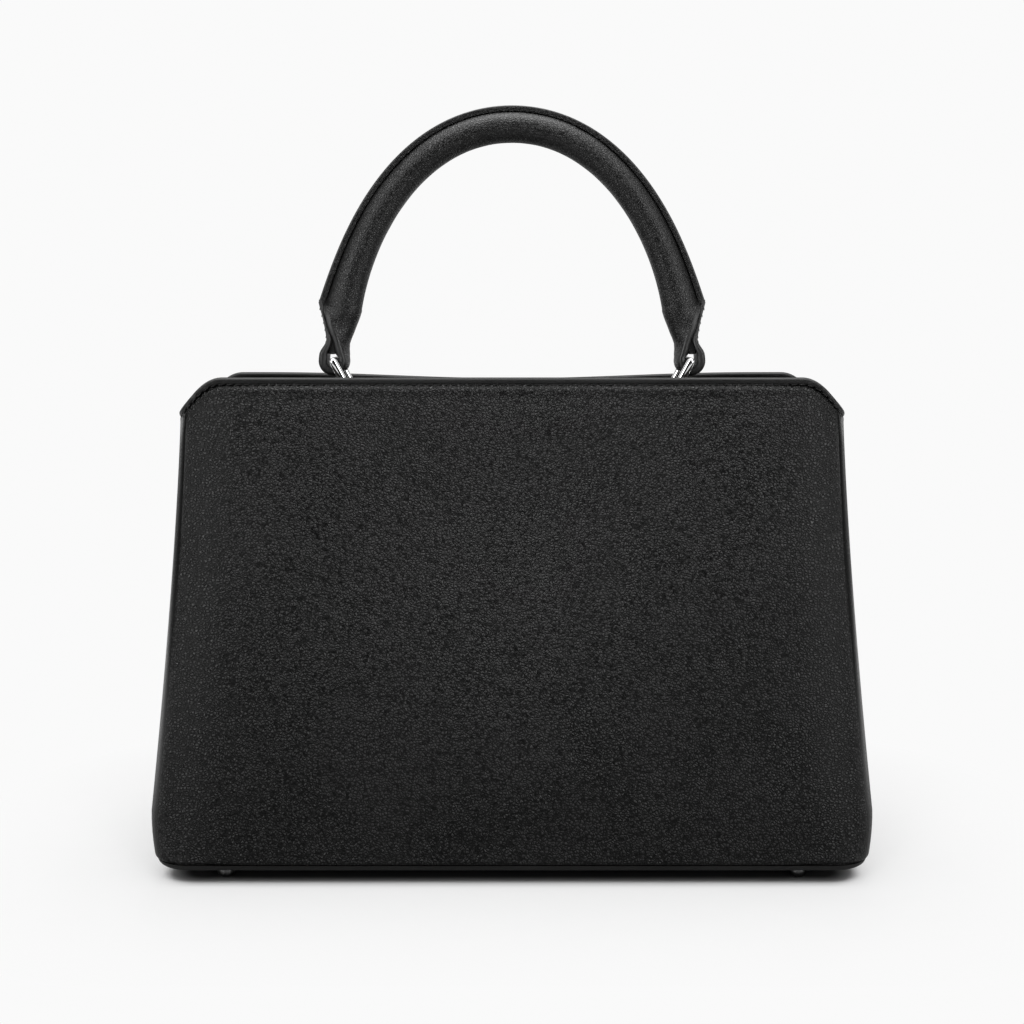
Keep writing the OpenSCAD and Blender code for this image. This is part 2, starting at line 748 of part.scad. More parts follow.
// Outline of the cover, from the flange round the roll, and of the bore for the rope
roll_sides = 14;
root_angle = asin(flange_t / 2 / roll_r);
function roll_angle(i) = mix(root_angle, 360 - root_angle, i / (roll_sides - 1));
function flange_at(s) = mix(flange_h, flange_tip_h, pow(abs(s), 6));
function cover_outline(s) = concat(
    [[flange_at(s), -flange_t / 2], [flange_at(s), flange_t / 2]],
    [for (i = [0:roll_sides - 1]) roll_r * [cos(roll_angle(i)), sin(roll_angle(i))]]);
rope_bore = rope_r + layer_gap;
bore_outline = concat(
    [for (a = [-root_angle / 2, root_angle / 2]) rope_bore * [cos(a), sin(a)]],
    [for (i = [0:roll_sides - 1]) rope_bore * [cos(roll_angle(i)), sin(roll_angle(i))]]);
rope_outline = [for (a = [0:30:330]) rope_r * [cos(a), sin(a)]];

module handle_cover() {
    color(leather_colour)
        sweep_tube([for (s = grip_stations) grip_ring(s, cover_outline(s))],
            [for (s = grip_stations) grip_ring(s, bore_outline)]);
}
module handle_rope() {
    color(rope_colour) sweep([for (s = grip_stations) grip_ring(s, rope_outline)]);
}

// End strap: from the roll's end down through the neck and round the ring's upper bar
strap_arc_steps = 16;
hip_angle = 28;
heel_angle = -188;
eye_tip_share = 0.85;
neck_x = ring_top_x - neck_in;
module strap_outline() {
    end = grip_at(1);
    roll_end = [end[0], end[1]] + seam_gap * [end[3], -end[2]];
    out = [end[2], end[3]];
    bar = [ring_top_x, ring_top_z];
    neck = [neck_x, ring_top_z + neck_rise];
    difference() {
        polygon(concat(
            [neck - [neck_w / 2, 0], roll_end - roll_r * out,
                roll_end + flange_tip_h * out, neck + [neck_w / 2, 0]],
            [for (i = [0:strap_arc_steps]) let (a = mix(hip_angle, heel_angle, i / strap_arc_steps))
                bar + (strap_eye_r + strap_t) * [cos(a), sin(a)]]));
        translate(bar)
            circle(r = strap_eye_r);
        polygon([bar - [strap_eye_r, 0], bar + [strap_eye_r, 0],
            [neck_x, ring_top_z + neck_rise * eye_tip_share]]);
    }
}
module strap() {
    color(leather_colour) slab_y(-strap_w / 2, strap_w / 2) strap_outline();
}
module handle_strap_right() { strap(); }
module handle_strap_left() { mirror([1, 0, 0]) strap(); }

base_panel();
base_board();
base_lining();
feet();
foot_nuts();
gusset_left_front();
gusset_left_back();
gusset_right_front();
gusset_right_back();
pouch_front();
pouch_back();
pouch_board_front();
pouch_board_back();
pouch_strip();
pouch_top();
anchor_plates();
tab_rivets();
zip_tapes();
zip_teeth();
zip_stops();
zip_slider();
zip_puller();
snap_sockets();
front_snap();
back_snap();
front_panel();
front_board();
front_lining();
front_binding();
back_panel();
back_board();
back_lining();
back_binding();
handle_tab_left();
handle_tab_right();
ring_left();
ring_right();
handle_rope();
handle_cover();
handle_strap_left();
handle_strap_right();
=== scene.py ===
import bisect
import math
import bmesh
import bpy
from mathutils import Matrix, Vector, noise


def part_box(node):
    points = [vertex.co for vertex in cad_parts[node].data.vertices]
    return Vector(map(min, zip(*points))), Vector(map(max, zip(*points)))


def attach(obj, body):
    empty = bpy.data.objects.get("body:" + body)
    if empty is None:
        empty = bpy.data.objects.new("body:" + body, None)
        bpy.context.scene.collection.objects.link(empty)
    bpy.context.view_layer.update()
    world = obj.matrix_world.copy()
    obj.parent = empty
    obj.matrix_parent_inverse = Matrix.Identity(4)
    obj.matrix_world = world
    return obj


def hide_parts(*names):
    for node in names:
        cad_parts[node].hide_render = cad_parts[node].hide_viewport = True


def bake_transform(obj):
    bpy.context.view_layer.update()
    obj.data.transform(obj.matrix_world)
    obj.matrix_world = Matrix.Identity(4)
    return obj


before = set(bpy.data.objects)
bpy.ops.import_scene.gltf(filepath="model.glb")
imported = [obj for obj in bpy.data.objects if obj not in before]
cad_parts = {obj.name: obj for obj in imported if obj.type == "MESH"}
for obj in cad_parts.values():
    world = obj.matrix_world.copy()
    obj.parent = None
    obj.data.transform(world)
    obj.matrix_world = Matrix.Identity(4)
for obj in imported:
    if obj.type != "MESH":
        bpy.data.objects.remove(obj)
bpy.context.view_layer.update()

mm = 0.001
scene = bpy.context.scene


# Numbers
def clamp(v, low=0.0, high=1.0):
    return min(high, max(low, v))


def smooth(v):
    c = clamp(v)
    return c * c * (3 - 2 * c)


def mix(a, b, v):
    return a + (b - a) * v


def fadeIn(v, start, width):     # 0 up to the start, 1 from a width beyond it
    return smooth((v - start) / width)


def bell(v, width):
    return math.exp(-(v / width) ** 2)


def curl(distance, radius):     # how far a turned edge has dropped at a distance from it
    return radius - math.sqrt(radius ** 2 - (radius - distance) ** 2) if distance < radius else 0.0


# Node helpers
def setInput(tree, socket, value):
    if isinstance(value, bpy.types.NodeSocket):
        tree.links.new(value, socket)
    else:
        socket.default_value = value


def addNode(tree, kind, inputs=None, **settings):
    node = tree.nodes.new(kind)
    for name, value in settings.items():
        setattr(node, name, value)
    for key, value in (inputs or {}).items():
        setInput(tree, node.inputs[key], value)
    return node


def sums(tree, operation, *values, limited=False):
    node = addNode(tree, "ShaderNodeMath", dict(enumerate(values)), operation=operation, use_clamp=limited)
    return node.outputs[0]


def vectorSum(tree, operation, first, second=None, scale=None):
    node = addNode(tree, "ShaderNodeVectorMath", {0: first}, operation=operation)
    if second is not None:
        setInput(tree, node.inputs[1], second)
    if scale is not None:
        setInput(tree, node.inputs["Scale"], scale)
    return node.outputs[0]


def ramp(tree, value, low, high, toLow=0.0, toHigh=1.0):
    node = addNode(tree, "ShaderNodeMapRange", {"Value": value, "From Min": low, "From Max": high,
                                                "To Min": toLow, "To Max": toHigh},
                   interpolation_type="SMOOTHSTEP")
    return node.outputs["Result"]


def blendColours(tree, factor, first, second):
    node = addNode(tree, "ShaderNodeMix", {0: factor, 6: first, 7: second}, data_type="RGBA")
    return node.outputs[2]


def newGroup(name, kind, inputs, outputs):
    tree = bpy.data.node_groups.new(name, kind)
    for label, socketType, value in inputs:
        socket = tree.interface.new_socket(name=label, in_out="INPUT", socket_type=socketType)
        if value is not None:
            socket.default_value = value
    for label, socketType in outputs:
        tree.interface.new_socket(name=label, in_out="OUTPUT", socket_type=socketType)
    return tree, tree.nodes.new("NodeGroupInput").outputs, tree.nodes.new("NodeGroupOutput").inputs


def newMaterial(name):
    material = bpy.data.materials.new(name)
    material.use_nodes = True
    tree = material.node_tree
    tree.nodes.clear()
    shader = tree.nodes.new("ShaderNodeBsdfPrincipled")
    tree.links.new(shader.outputs[0], tree.nodes.new("ShaderNodeOutputMaterial").inputs[0])
    return material, tree, shader


def grey(v):
    return (v, v, v, 1)


def objectPlace(tree):
    return tree.nodes.new("ShaderNodeTexCoord").outputs["Object"]


def noiseOf(tree, place, scale, detail, distortion=0.0):
    return addNode(tree, "ShaderNodeTexNoise", {"Vector": place, "Scale": scale, "Detail": detail,
                                                "Distortion": distortion}).outputs


def bumped(tree, shader, height, distance=1.0):
    bump = addNode(tree, "ShaderNodeBump", {"Height": height, "Distance": distance, "Strength": 1.0})
    setInput(tree, shader.inputs["Normal"], bump.outputs[0])


def constants(shader, values):
    for label, value in values.items():
        shader.inputs[label].default_value = value


# Camera, light and floor
view = {"place": (0, -0.758, 0.260), "pitch": 7.5, "lens": 55.6}

camera = bpy.data.objects.new("camera", bpy.data.cameras.new("camera"))
camera.data.lens = view["lens"]
camera.data.sensor_width = 36
camera.data.clip_start = 0.01
camera.location = view["place"]
camera.rotation_euler = (math.radians(90 - view["pitch"]), 0, 0)
scene.collection.objects.link(camera)
scene.camera = camera
scene.view_settings.view_transform = "Standard"

studio = {
    "background": 0.955, "bounce": 0.28,
    "frontShine": 0.02, "sideShine": 0.30, "backShine": 0.24, "shineRange": (0.45, 0.85),     # what is mirrored
    "topShine": 5.2, "topRange": (0.74, 0.96), "stripShine": 6.0, "stripRange": (0.50, 0.62, 0.68, 0.98),
    "stripRise": (-0.12, 0.06, 0.45, 0.80), "stripBehind": 0.2,
    "lamps": [   # place, aimed at, size, power
        ((0.0, -0.78, 1.15), (0, 0, 0.22), (1.2, 0.45), 8.0),
        ((0.0, 0.15, 1.45), (0, 0, 0.10), (1.3, 0.8), 7.5),
        ((-0.42, -1.02, 0.50), (-0.1, 0, 0.15), (0.16, 0.95), 1.3),
        ((0.42, -1.02, 0.50), (0.1, 0, 0.15), (0.16, 0.95), 1.3),
        ((0.0, 1.05, 0.95), (0, 0, 0.18), (1.1, 0.4), 4.0),
    ],
}


def buildWorld():
    world = bpy.data.worlds.new("studio")
    world.use_nodes = True
    tree = world.node_tree
    tree.nodes.clear()
    way = addNode(tree, "ShaderNodeSeparateXYZ",
                  {0: tree.nodes.new("ShaderNodeTexCoord").outputs["Generated"]}).outputs
    ahead = ramp(tree, sums(tree, "MULTIPLY", way["Y"], -1.0), *studio["shineRange"])
    behind = ramp(tree, way["Y"], *studio["shineRange"])
    shine = sums(tree, "MULTIPLY_ADD", ahead, studio["frontShine"] - studio["sideShine"], studio["sideShine"])
    shine = sums(tree, "MULTIPLY_ADD", behind, studio["backShine"] - studio["sideShine"], shine)
    above = ramp(tree, way["Z"], *studio["topRange"])
    shine = sums(tree, "MULTIPLY_ADD", above, studio["topShine"], shine)
    level = sums(tree, "SQRT", sums(tree, "SUBTRACT", 1.0, sums(tree, "MULTIPLY", way["Z"], way["Z"])))
    aside = sums(tree, "DIVIDE", sums(tree, "ABSOLUTE", way["X"]), sums(tree, "MAXIMUM", level, 0.01))
    edges = studio["stripRange"]        # two upright strips of light, each side of the front and of the back
    strip = sums(tree, "MULTIPLY", ramp(tree, aside, *edges[:2]), ramp(tree, aside, *edges[2:], 1, 0))
    rise = studio["stripRise"]
    strip = sums(tree, "MULTIPLY", strip, ramp(tree, way["Z"], *rise[:2]))
    strip = sums(tree, "MULTIPLY", strip, ramp(tree, way["Z"], *rise[2:], 1.0, 0.0))
    strip = sums(tree, "MULTIPLY", strip, ramp(tree, way["Y"], 0.0, 0.3, 1.0, studio["stripBehind"]))
    shine = sums(tree, "MULTIPLY_ADD", strip, studio["stripShine"], shine)
    path = tree.nodes.new("ShaderNodeLightPath").outputs
    mirrored = sums(tree, "MAXIMUM", path["Is Glossy Ray"], path["Is Transmission Ray"])
    plain = addNode(tree, "ShaderNodeMix", {0: mirrored, 2: studio["bounce"], 3: shine}, data_type="FLOAT")
    seen = addNode(tree, "ShaderNodeMix", {0: path["Is Camera Ray"], 2: plain.outputs[0], 3: studio["background"]},
                   data_type="FLOAT")
    light = addNode(tree, "ShaderNodeBackground", {"Color": grey(1.0), "Strength": seen.outputs[0]})
    tree.links.new(light.outputs[0], tree.nodes.new("ShaderNodeOutputWorld").inputs[0])
    scene.world = world


def buildLamps():
    for i, (place, target, size, power) in enumerate(studio["lamps"]):
        lamp = bpy.data.objects.new("lamp%d" % i, bpy.data.lights.new("lamp%d" % i, "AREA"))
        lamp.data.shape = "RECTANGLE"
        lamp.data.size, lamp.data.size_y = size
        lamp.data.energy = power
        lamp.location = place
        lamp.visible_glossy = False     # what is mirrored comes from the studio's own light above
        lamp.rotation_euler = (Vector(target) - Vector(place)).to_track_quat("-Z", "Y").to_euler()
        scene.collection.objects.link(lamp)


def buildFloor():
    floor = {"half": 6.0, "colour": 0.90, "stand": (0.142, 0.0555), "corner": 0.018, "far": 0.11,
             "start": 0.5, "dark": 0.03, "mirrored": 0.4, "bright": (0.22, 0.36, 0.7, 0.9)}
    mesh = bpy.data.meshes.new("floor")
    h = floor["half"]
    mesh.from_pydata([(-h, -h, 0), (h, -h, 0), (h, h, 0), (-h, h, 0)], [], [(0, 1, 2, 3)])
    material, tree, shader = newMaterial("paleFloor")
    constants(shader, {"Roughness": 0.75, "Specular IOR Level": 0.2})
    place = objectPlace(tree)
    speck = noiseOf(tree, place, 60.0, 3.0)
    path = tree.nodes.new("ShaderNodeLightPath").outputs
    away = vectorSum(tree, "SUBTRACT", vectorSum(tree, "ABSOLUTE", place), (*floor["stand"], 0))
    part = addNode(tree, "ShaderNodeSeparateXYZ", {0: away}).outputs
    length = addNode(tree, "ShaderNodeVectorMath", {0: vectorSum(tree, "MAXIMUM", away, (0, 0, 0))},
                     operation="LENGTH").outputs["Value"]
    inside = sums(tree, "MINIMUM", sums(tree, "MAXIMUM", part["X"], part["Y"]), 0.0)
    gap = sums(tree, "SUBTRACT", sums(tree, "ADD", length, inside), floor["corner"])    # beyond the bag's outline
    tint = ramp(tree, speck[0], 0.2, 0.8, floor["colour"] * 0.985, floor["colour"])
    # painted shade: the floor's colour is lowered to the mirrored share where glossy rays see it
    paintedShade = sums(tree, "MULTIPLY_ADD", path["Is Glossy Ray"], floor["mirrored"] - 1.0, 1.0)
    # painted shadow: the floor's colour falls to the dark share under the bag's outline
    paintedShade = sums(tree, "MULTIPLY", paintedShade, ramp(tree, gap, -0.013, -0.001, floor["dark"], 1.0))
    tree.links.new(sums(tree, "MULTIPLY", tint, paintedShade), shader.inputs["Base Color"])
    # painted light: for camera rays the floor turns to the backdrop's glowing white, half of it just outside the
    # bag's outline and all of it at far beyond
    far = sums(tree, "MULTIPLY_ADD", gap, (1 - floor["start"]) / floor["far"], floor["start"], limited=True)
    far = sums(tree, "MULTIPLY", far, ramp(tree, gap, -0.005, 0.002))
    # painted reflection: glossy rays see the floor glow in a strip each side of the bag, set by bright
    across = sums(tree, "ADD", part["X"], floor["stand"][0])
    edges = floor["bright"]
    aside = sums(tree, "MULTIPLY", ramp(tree, across, *edges[:2]), ramp(tree, across, *edges[2:], 1, 0))
    seen = sums(tree, "MULTIPLY_ADD", path["Is Glossy Ray"], aside, path["Is Camera Ray"], limited=True)
    glow = addNode(tree, "ShaderNodeEmission", {"Color": grey(studio["background"])})
    both = addNode(tree, "ShaderNodeMixShader", {
        0: sums(tree, "MULTIPLY", far, seen), 1: shader.outputs[0], 2: glow.outputs[0]})
    output = next(n for n in tree.nodes if n.type == "OUTPUT_MATERIAL")
    tree.links.new(both.outputs[0], output.inputs[0])
    mesh.materials.append(material)
    obj = bpy.data.objects.new("floor", mesh)
    scene.collection.objects.link(obj)


buildWorld()
buildLamps()
buildFloor()
print("camera, lamps and floor are set")


# Finishes
def buildGrainGroup():
    tree, given, out = newGroup("leatherGrain", "ShaderNodeTree", [
        ("Vector", "NodeSocketVector", None), ("Pebble", "NodeSocketFloat", 0.0015),
        ("Depth", "NodeSocketFloat", 0.00012), ("Crease", "NodeSocketFloat", 0.3),
        ("Flatten", "NodeSocketFloat", 1.08)],
        [("Height", "NodeSocketFloat"), ("Cavity", "NodeSocketFloat"), ("Tone", "NodeSocketFloat")])
    flatter = addNode(tree, "ShaderNodeCombineXYZ", {"X": 1.0, "Y": 1.0, "Z": given["Flatten"]}).outputs[0]
    cells = vectorSum(tree, "SCALE", vectorSum(tree, "MULTIPLY", given["Vector"], flatter),
                      scale=sums(tree, "DIVIDE", 1.0, given["Pebble"]))
    warp = noiseOf(tree, cells, 0.55, 2.0)
    shifted = vectorSum(tree, "ADD", cells, vectorSum(
        tree, "SCALE", vectorSum(tree, "SUBTRACT", warp["Color"], (0.5, 0.5, 0.5)), scale=0.9))
    large = addNode(tree, "ShaderNodeTexVoronoi", {"Vector": shifted, "Scale": 1.0}, feature="DISTANCE_TO_EDGE")
    small = addNode(tree, "ShaderNodeTexVoronoi", {"Vector": shifted, "Scale": 2.3}, feature="DISTANCE_TO_EDGE")
    domes = ramp(tree, large.outputs["Distance"], 0.0, given["Crease"])
    knobs = ramp(tree, small.outputs["Distance"], 0.0, 0.3)
    height = sums(tree, "MULTIPLY_ADD", knobs, 0.2, sums(tree, "MULTIPLY", domes, 0.8))
    height = sums(tree, "MULTIPLY_ADD", noiseOf(tree, cells, 4.5, 2.0)[0], 0.12, height)
    creased = sums(tree, "MULTIPLY", given["Crease"], 0.8)
    tree.links.new(sums(tree, "MULTIPLY", height, given["Depth"]), out["Height"])
    tree.links.new(ramp(tree, large.outputs["Distance"], 0.0, creased, 1.0, 0.0), out["Cavity"])
    tree.links.new(ramp(tree, noiseOf(tree, given["Vector"], 26.0, 4.0)[0], 0.3, 0.7), out["Tone"])
    return tree


def buildWeaveGroup():
    tree, given, out = newGroup("threadWeave", "ShaderNodeTree", [
        ("Vector", "NodeSocketVector", None), ("Thread", "NodeSocketFloat", 0.0006),
        ("Depth", "NodeSocketFloat", 0.0001)],
        [("Height", "NodeSocketFloat"), ("Shade", "NodeSocketFloat")])
    cells = vectorSum(tree, "SCALE", given["Vector"], scale=sums(tree, "DIVIDE", math.pi, given["Thread"]))
    part = addNode(tree, "ShaderNodeSeparateXYZ", {0: cells}).outputs
    across = sums(tree, "SINE", sums(tree, "ADD", part["X"], part["Y"]))
    along = sums(tree, "SINE", sums(tree, "ADD", part["Z"], sums(tree, "MULTIPLY", part["Y"], 0.35)))
    twill = sums(tree, "MULTIPLY", across, along)
    shade = sums(tree, "MULTIPLY_ADD", twill, 0.38, noiseOf(tree, given["Vector"], 900.0, 1.0)[0])
    tree.links.new(sums(tree, "MULTIPLY", shade, given["Depth"]), out["Height"])
    tree.links.new(shade, out["Shade"])
    return tree


def buildRubGroup():
    tree, given, out = newGroup("rubbedEdges", "ShaderNodeTree", [
        ("Vector", "NodeSocketVector", None), ("Rub", "NodeSocketFloat", 0.0)],
        [("Mask", "NodeSocketFloat")])
    spots = ramp(tree, noiseOf(tree, given["Vector"], 420.0, 3.0)[0], 0.42, 0.66)
    tree.links.new(sums(tree, "MULTIPLY", given["Rub"], spots), out["Mask"])
    return tree


grainGroup = buildGrainGroup()
weaveGroup = buildWeaveGroup()
rubGroup = buildRubGroup()


# How much of the relief, the hollows and the shine goes where the skin is pressed, and what a hollow does; a hollow's
# darker tone and lost shine are painted shade
skinForm = {"pressedRelief": 0.85, "pressedHollow": 1.0, "pressedShade": 0.75, "hollowShadeTone": 0.25,
            "hollowRough": 0.1, "smoothest": -0.01, "roughest": 0.03}


def leather(name, dark, light, pebble, depth, roughness, crease=0.3, specular=0.35, rubbed=0.04, hollowShade=0.8):
    material, tree, shader = newMaterial(name)
    place = objectPlace(tree)
    grain = addNode(tree, "ShaderNodeGroup", node_tree=grainGroup)
    for label, value in (("Vector", place), ("Pebble", pebble), ("Depth", depth), ("Crease", crease)):
        setInput(tree, grain.inputs[label], value)
    rub = addNode(tree, "ShaderNodeGroup", node_tree=rubGroup)
    setInput(tree, rub.inputs["Vector"], place)
    setInput(tree, rub.inputs["Rub"], addNode(tree, "ShaderNodeAttribute", attribute_name="rub").outputs["Fac"])
    turned = addNode(tree, "ShaderNodeAttribute", attribute_name="turned").outputs["Fac"]
    pressed = addNode(tree, "ShaderNodeAttribute", attribute_name="pressed").outputs["Fac"]

    def spared(share):
        return sums(tree, "MULTIPLY_ADD", pressed, -skinForm[share], 1.0)

    relief = sums(tree, "MULTIPLY", grain.outputs["Height"], spared("pressedRelief"))
    hollow = sums(tree, "MULTIPLY", grain.outputs["Cavity"], spared("pressedHollow"))
    skin = blendColours(tree, grain.outputs["Tone"], grey(dark), grey(light))
    # painted shade: the grain's hollows are darkened towards a quarter of the leather's dark colour
    skin = blendColours(tree, sums(tree, "MULTIPLY", hollow, hollowShade), skin, grey(dark * skinForm["hollowShadeTone"]))
    skin = blendColours(tree, rub.outputs["Mask"], skin, grey(rubbed))
    rough = ramp(tree, grain.outputs["Tone"], 0.0, 1.0, roughness + skinForm["smoothest"],
                 roughness + skinForm["roughest"])
    rough = sums(tree, "MULTIPLY_ADD", hollow, skinForm["hollowRough"], rough)
    bumped(tree, shader, sums(tree, "SUBTRACT", relief, turned))
    setInput(tree, shader.inputs["Base Color"], skin)
    setInput(tree, shader.inputs["Roughness"], rough)
    # painted shade: where the skin is hollow, or pressed on the side strip, its shine is taken away, as a near-black
    # metal mirrors only its own colour
    shine = sums(tree, "MULTIPLY", spared("pressedShade"), sums(tree, "MULTIPLY_ADD", hollow, -hollowShade, 1.0))
    setInput(tree, shader.inputs["Metallic"], sums(tree, "SUBTRACT", 1.0, shine))
    constants(shader, {"Specular IOR Level": specular})
    return material


def cloth(name, dark, light, thread, depth, roughness=0.85):
    material, tree, shader = newMaterial(name)
    place = objectPlace(tree)
    weave = addNode(tree, "ShaderNodeGroup", node_tree=weaveGroup)
    for label, value in (("Vector", place), ("Thread", thread), ("Depth", depth)):
        setInput(tree, weave.inputs[label], value)
    setInput(tree, shader.inputs["Base Color"],
             blendColours(tree, ramp(tree, weave.outputs["Shade"], 0.1, 0.9), dark, light))
    bumped(tree, shader, weave.outputs["Height"])
    constants(shader, {"Roughness": roughness, "Specular IOR Level": 0.25, "Sheen Weight": 0.15})
    return material


def metal(name, colour, roughness, scratches):
    material, tree, shader = newMaterial(name)
    place = objectPlace(tree)
    fine = noiseOf(tree, place, 260.0, 5.0, 2.0)[0]
    cloud = noiseOf(tree, place, 45.0, 2.0)[0]
    setInput(tree, shader.inputs["Roughness"], ramp(tree, cloud, 0.3, 0.7, roughness * 0.8, roughness * 1.4))
    setInput(tree, shader.inputs["Base Color"],
             blendColours(tree, ramp(tree, fine, 0.45, 0.75), grey(colour), grey(colour * 0.9)))
    bumped(tree, shader, fine, scratches)
    constants(shader, {"Metallic": 1.0})
    return material


def painted(name, colour, roughness):
    material, tree, shader = newMaterial(name)
    place = objectPlace(tree)
    cloud = noiseOf(tree, place, 90.0, 3.0)[0]
    setInput(tree, shader.inputs["Base Color"],
             blendColours(tree, cloud, grey(colour * 0.8), grey(colour * 1.25)))
    setInput(tree, shader.inputs["Roughness"], ramp(tree, cloud, 0.3, 0.7, roughness - 0.06, roughness + 0.08))
    bumped(tree, shader, noiseOf(tree, place, 700.0, 2.0)[0], 0.04 * mm)
    constants(shader, {"Specular IOR Level": 0.4})
    return material


pebbledLeather = leather("pebbledLeather", 0.0045, 0.007, 1.4 * mm, 0.21 * mm, 0.26, crease=0.42, specular=0.38,
                         hollowShade=0.66)
handleLeather = leather("handleLeather", 0.006, 0.009, 1.2 * mm, 0.13 * mm, 0.25, crease=0.36, specular=0.5,
                        hollowShade=0.45)
smoothLeather = leather("smoothLeather", 0.006, 0.009, 0.55 * mm, 0.02 * mm, 0.32, specular=0.34, hollowShade=0.2)
edgePaint = painted("edgePaint", 0.016, 0.38)
threadFinish = cloth("waxedThread", (0.004, 0.004, 0.004, 1), (0.010, 0.010, 0.010, 1), 0.35 * mm, 0.05 * mm, 0.6)
liningCloth = cloth("liningCloth", (0.040, 0.035, 0.029, 1), (0.075, 0.068, 0.058, 1), 0.5 * mm, 0.07 * mm)
zipCloth = cloth("zipCloth", (0.006, 0.006, 0.006, 1), (0.018, 0.018, 0.018, 1), 0.45 * mm, 0.08 * mm)
boardFinish = cloth("fibreBoard", (0.13, 0.10, 0.07, 1), (0.20, 0.16, 0.12, 1), 0.9 * mm, 0.05 * mm)
ropeFibre = cloth("ropeFibre", (0.38, 0.33, 0.25, 1), (0.62, 0.56, 0.45, 1), 0.7 * mm, 0.12 * mm)
polishedSteel = metal("polishedSteel", 0.82, 0.07, 0.00001)
# painted shade: the feet's steel is far darker than the rings' polished steel, for the shadow under the bag
shadedFootSteel = metal("shadedFootSteel", 0.16, 0.30, 0.00002)
darkSteel = metal("darkSteel", 0.62, 0.16, 0.00002)
print("finishes are made")


# Meshes
def makePiece(name, parts, body=None, replaced=(), slot=None, sharp=42, **marked):
    # parts: (points, faces, materials, marks), one mark a face for its material in the list
    points, faces, marks, materials = [], [], [], []
    for partPoints, partFaces, partMaterials, partMarks in parts:
        start = len(points)
        points += [tuple(p) for p in partPoints]
        faces += [tuple(start + i for i in face) for face in partFaces]
        for m in partMaterials:
            if m not in materials:
                materials.append(m)
        marks += [materials.index(partMaterials[partMarks[i] if partMarks else 0]) for i in range(len(partFaces))]
    mesh = bpy.data.meshes.new(name)
    mesh.from_pydata(points, [], faces)
    mesh.polygons.foreach_set("material_index", marks)
    for m in materials:
        mesh.materials.append(m)
    for label, valueAt in marked.items():
        mesh.attributes.new(label, "FLOAT", "POINT").data.foreach_set("value", [valueAt(Vector(p)) for p in points])
    book = bmesh.new()
    book.from_mesh(mesh)
    bmesh.ops.remove_doubles(book, verts=book.verts, dist=1e-7)
    bmesh.ops.recalc_face_normals(book, faces=book.faces)
    book.to_mesh(mesh)
    book.free()
    mesh.shade_smooth()
    mesh.set_sharp_from_angle(angle=math.radians(sharp))
    obj = bpy.data.objects.new(name, mesh)
    scene.collection.objects.link(obj)
    if body:
        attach(obj, body)
    if replaced:
        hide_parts(*replaced)
    return obj


def shell(outer, inner, materials, edgeMark=None, innerMark=None):
    # closed solid between two grids of points; marks choose the materials of its edge and its inner side
    rows, cols = len(outer), len(outer[0])
    n = rows * cols
    faces, marks = [], []
    for i in range(rows - 1):
        for j in range(cols - 1):
            a = i * cols + j
            faces += [(a, a + cols, a + cols + 1, a + 1), (n + a, n + a + 1, n + a + cols + 1, n + a + cols)]
            marks += [0, innerMark or 0]
    last = (rows - 1) * cols
    for j in range(cols - 1):
        faces += [(j, j + 1, n + j + 1, n + j), (last + j, n + last + j, n + last + j + 1, last + j + 1)]
        marks += [edgeMark or 0] * 2
    for i in range(rows - 1):
        a, b = i * cols, i * cols + cols - 1
        faces += [(a, n + a, n + a + cols, a + cols), (b, b + cols, n + b + cols, n + b)]
        marks += [edgeMark or 0] * 2
    points = [p for row in outer for p in row] + [p for row in inner for p in row]
    return points, faces, materials, marks


def sweep(rings, materials, markOf=None, closed=False):
    # closed solid through rings of points; markOf chooses the material by the place in the ring
    n, m = len(rings[0]), len(rings)
    faces, marks = [], []
    for i in range(m if closed else m - 1):
        a, b = i * n, ((i + 1) % m) * n
        for j in range(n):
            k = (j + 1) % n
            faces.append((a + j, a + k, b + k, b + j))
            marks.append(markOf(j) if markOf else 0)
    if not closed:
        faces += [tuple(range(n - 1, -1, -1)), tuple((m - 1) * n + j for j in range(n))]
        marks += [0, 0]
    return [p for ring in rings for p in ring], faces, materials, marks


def lathe(profile, place, material, axis="Z", steps=40):
    # profile: (radius, height) from one end of the axis to the other
    rings = []
    for radius, height in profile:
        ring = []
        for k in range(steps):
            a = 2 * math.pi * k / steps
            u, v = radius * math.cos(a), radius * math.sin(a)
            p = {"Z": (u, v, height), "Y": (u, height, v), "X": (height, u, v)}[axis]
            ring.append(Vector(place) + Vector(p))
        rings.append(ring)
    return sweep(rings, [material])


def roundedLoop(halfX, halfY, radius, side=6, corner=6):
    # counter-clockwise outline of a rectangle with round corners, the same count of points at any size
    points = []
    centres = [(1, -1, -90), (1, 1, 0), (-1, 1, 90), (-1, -1, 180)]
    for q, (sx, sy, start) in enumerate(centres):
        cx, cy = sx * (halfX - radius), sy * (halfY - radius)
        for k in range(corner + 1):
            a = math.radians(start + 90 * k / corner)
            points.append((cx + radius * math.cos(a), cy + radius * math.sin(a)))
        nx, ny, nextStart = centres[(q + 1) % 4]
        ax, ay = points[-1]
        b = math.radians(nextStart)
        bx = nx * (halfX - radius) + radius * math.cos(b)
        by = ny * (halfY - radius) + radius * math.sin(b)
        points += [(mix(ax, bx, k / side), mix(ay, by, k / side)) for k in range(1, side)]
    return points


# Stitches: Geometry Nodes along a path
stitch = {"pitch": 3.8 * mm, "length": 3.1 * mm, "width": 0.62 * mm, "height": 0.55 * mm, "slant": 0.14,
          "uneven": 0.05, "seed": 3}


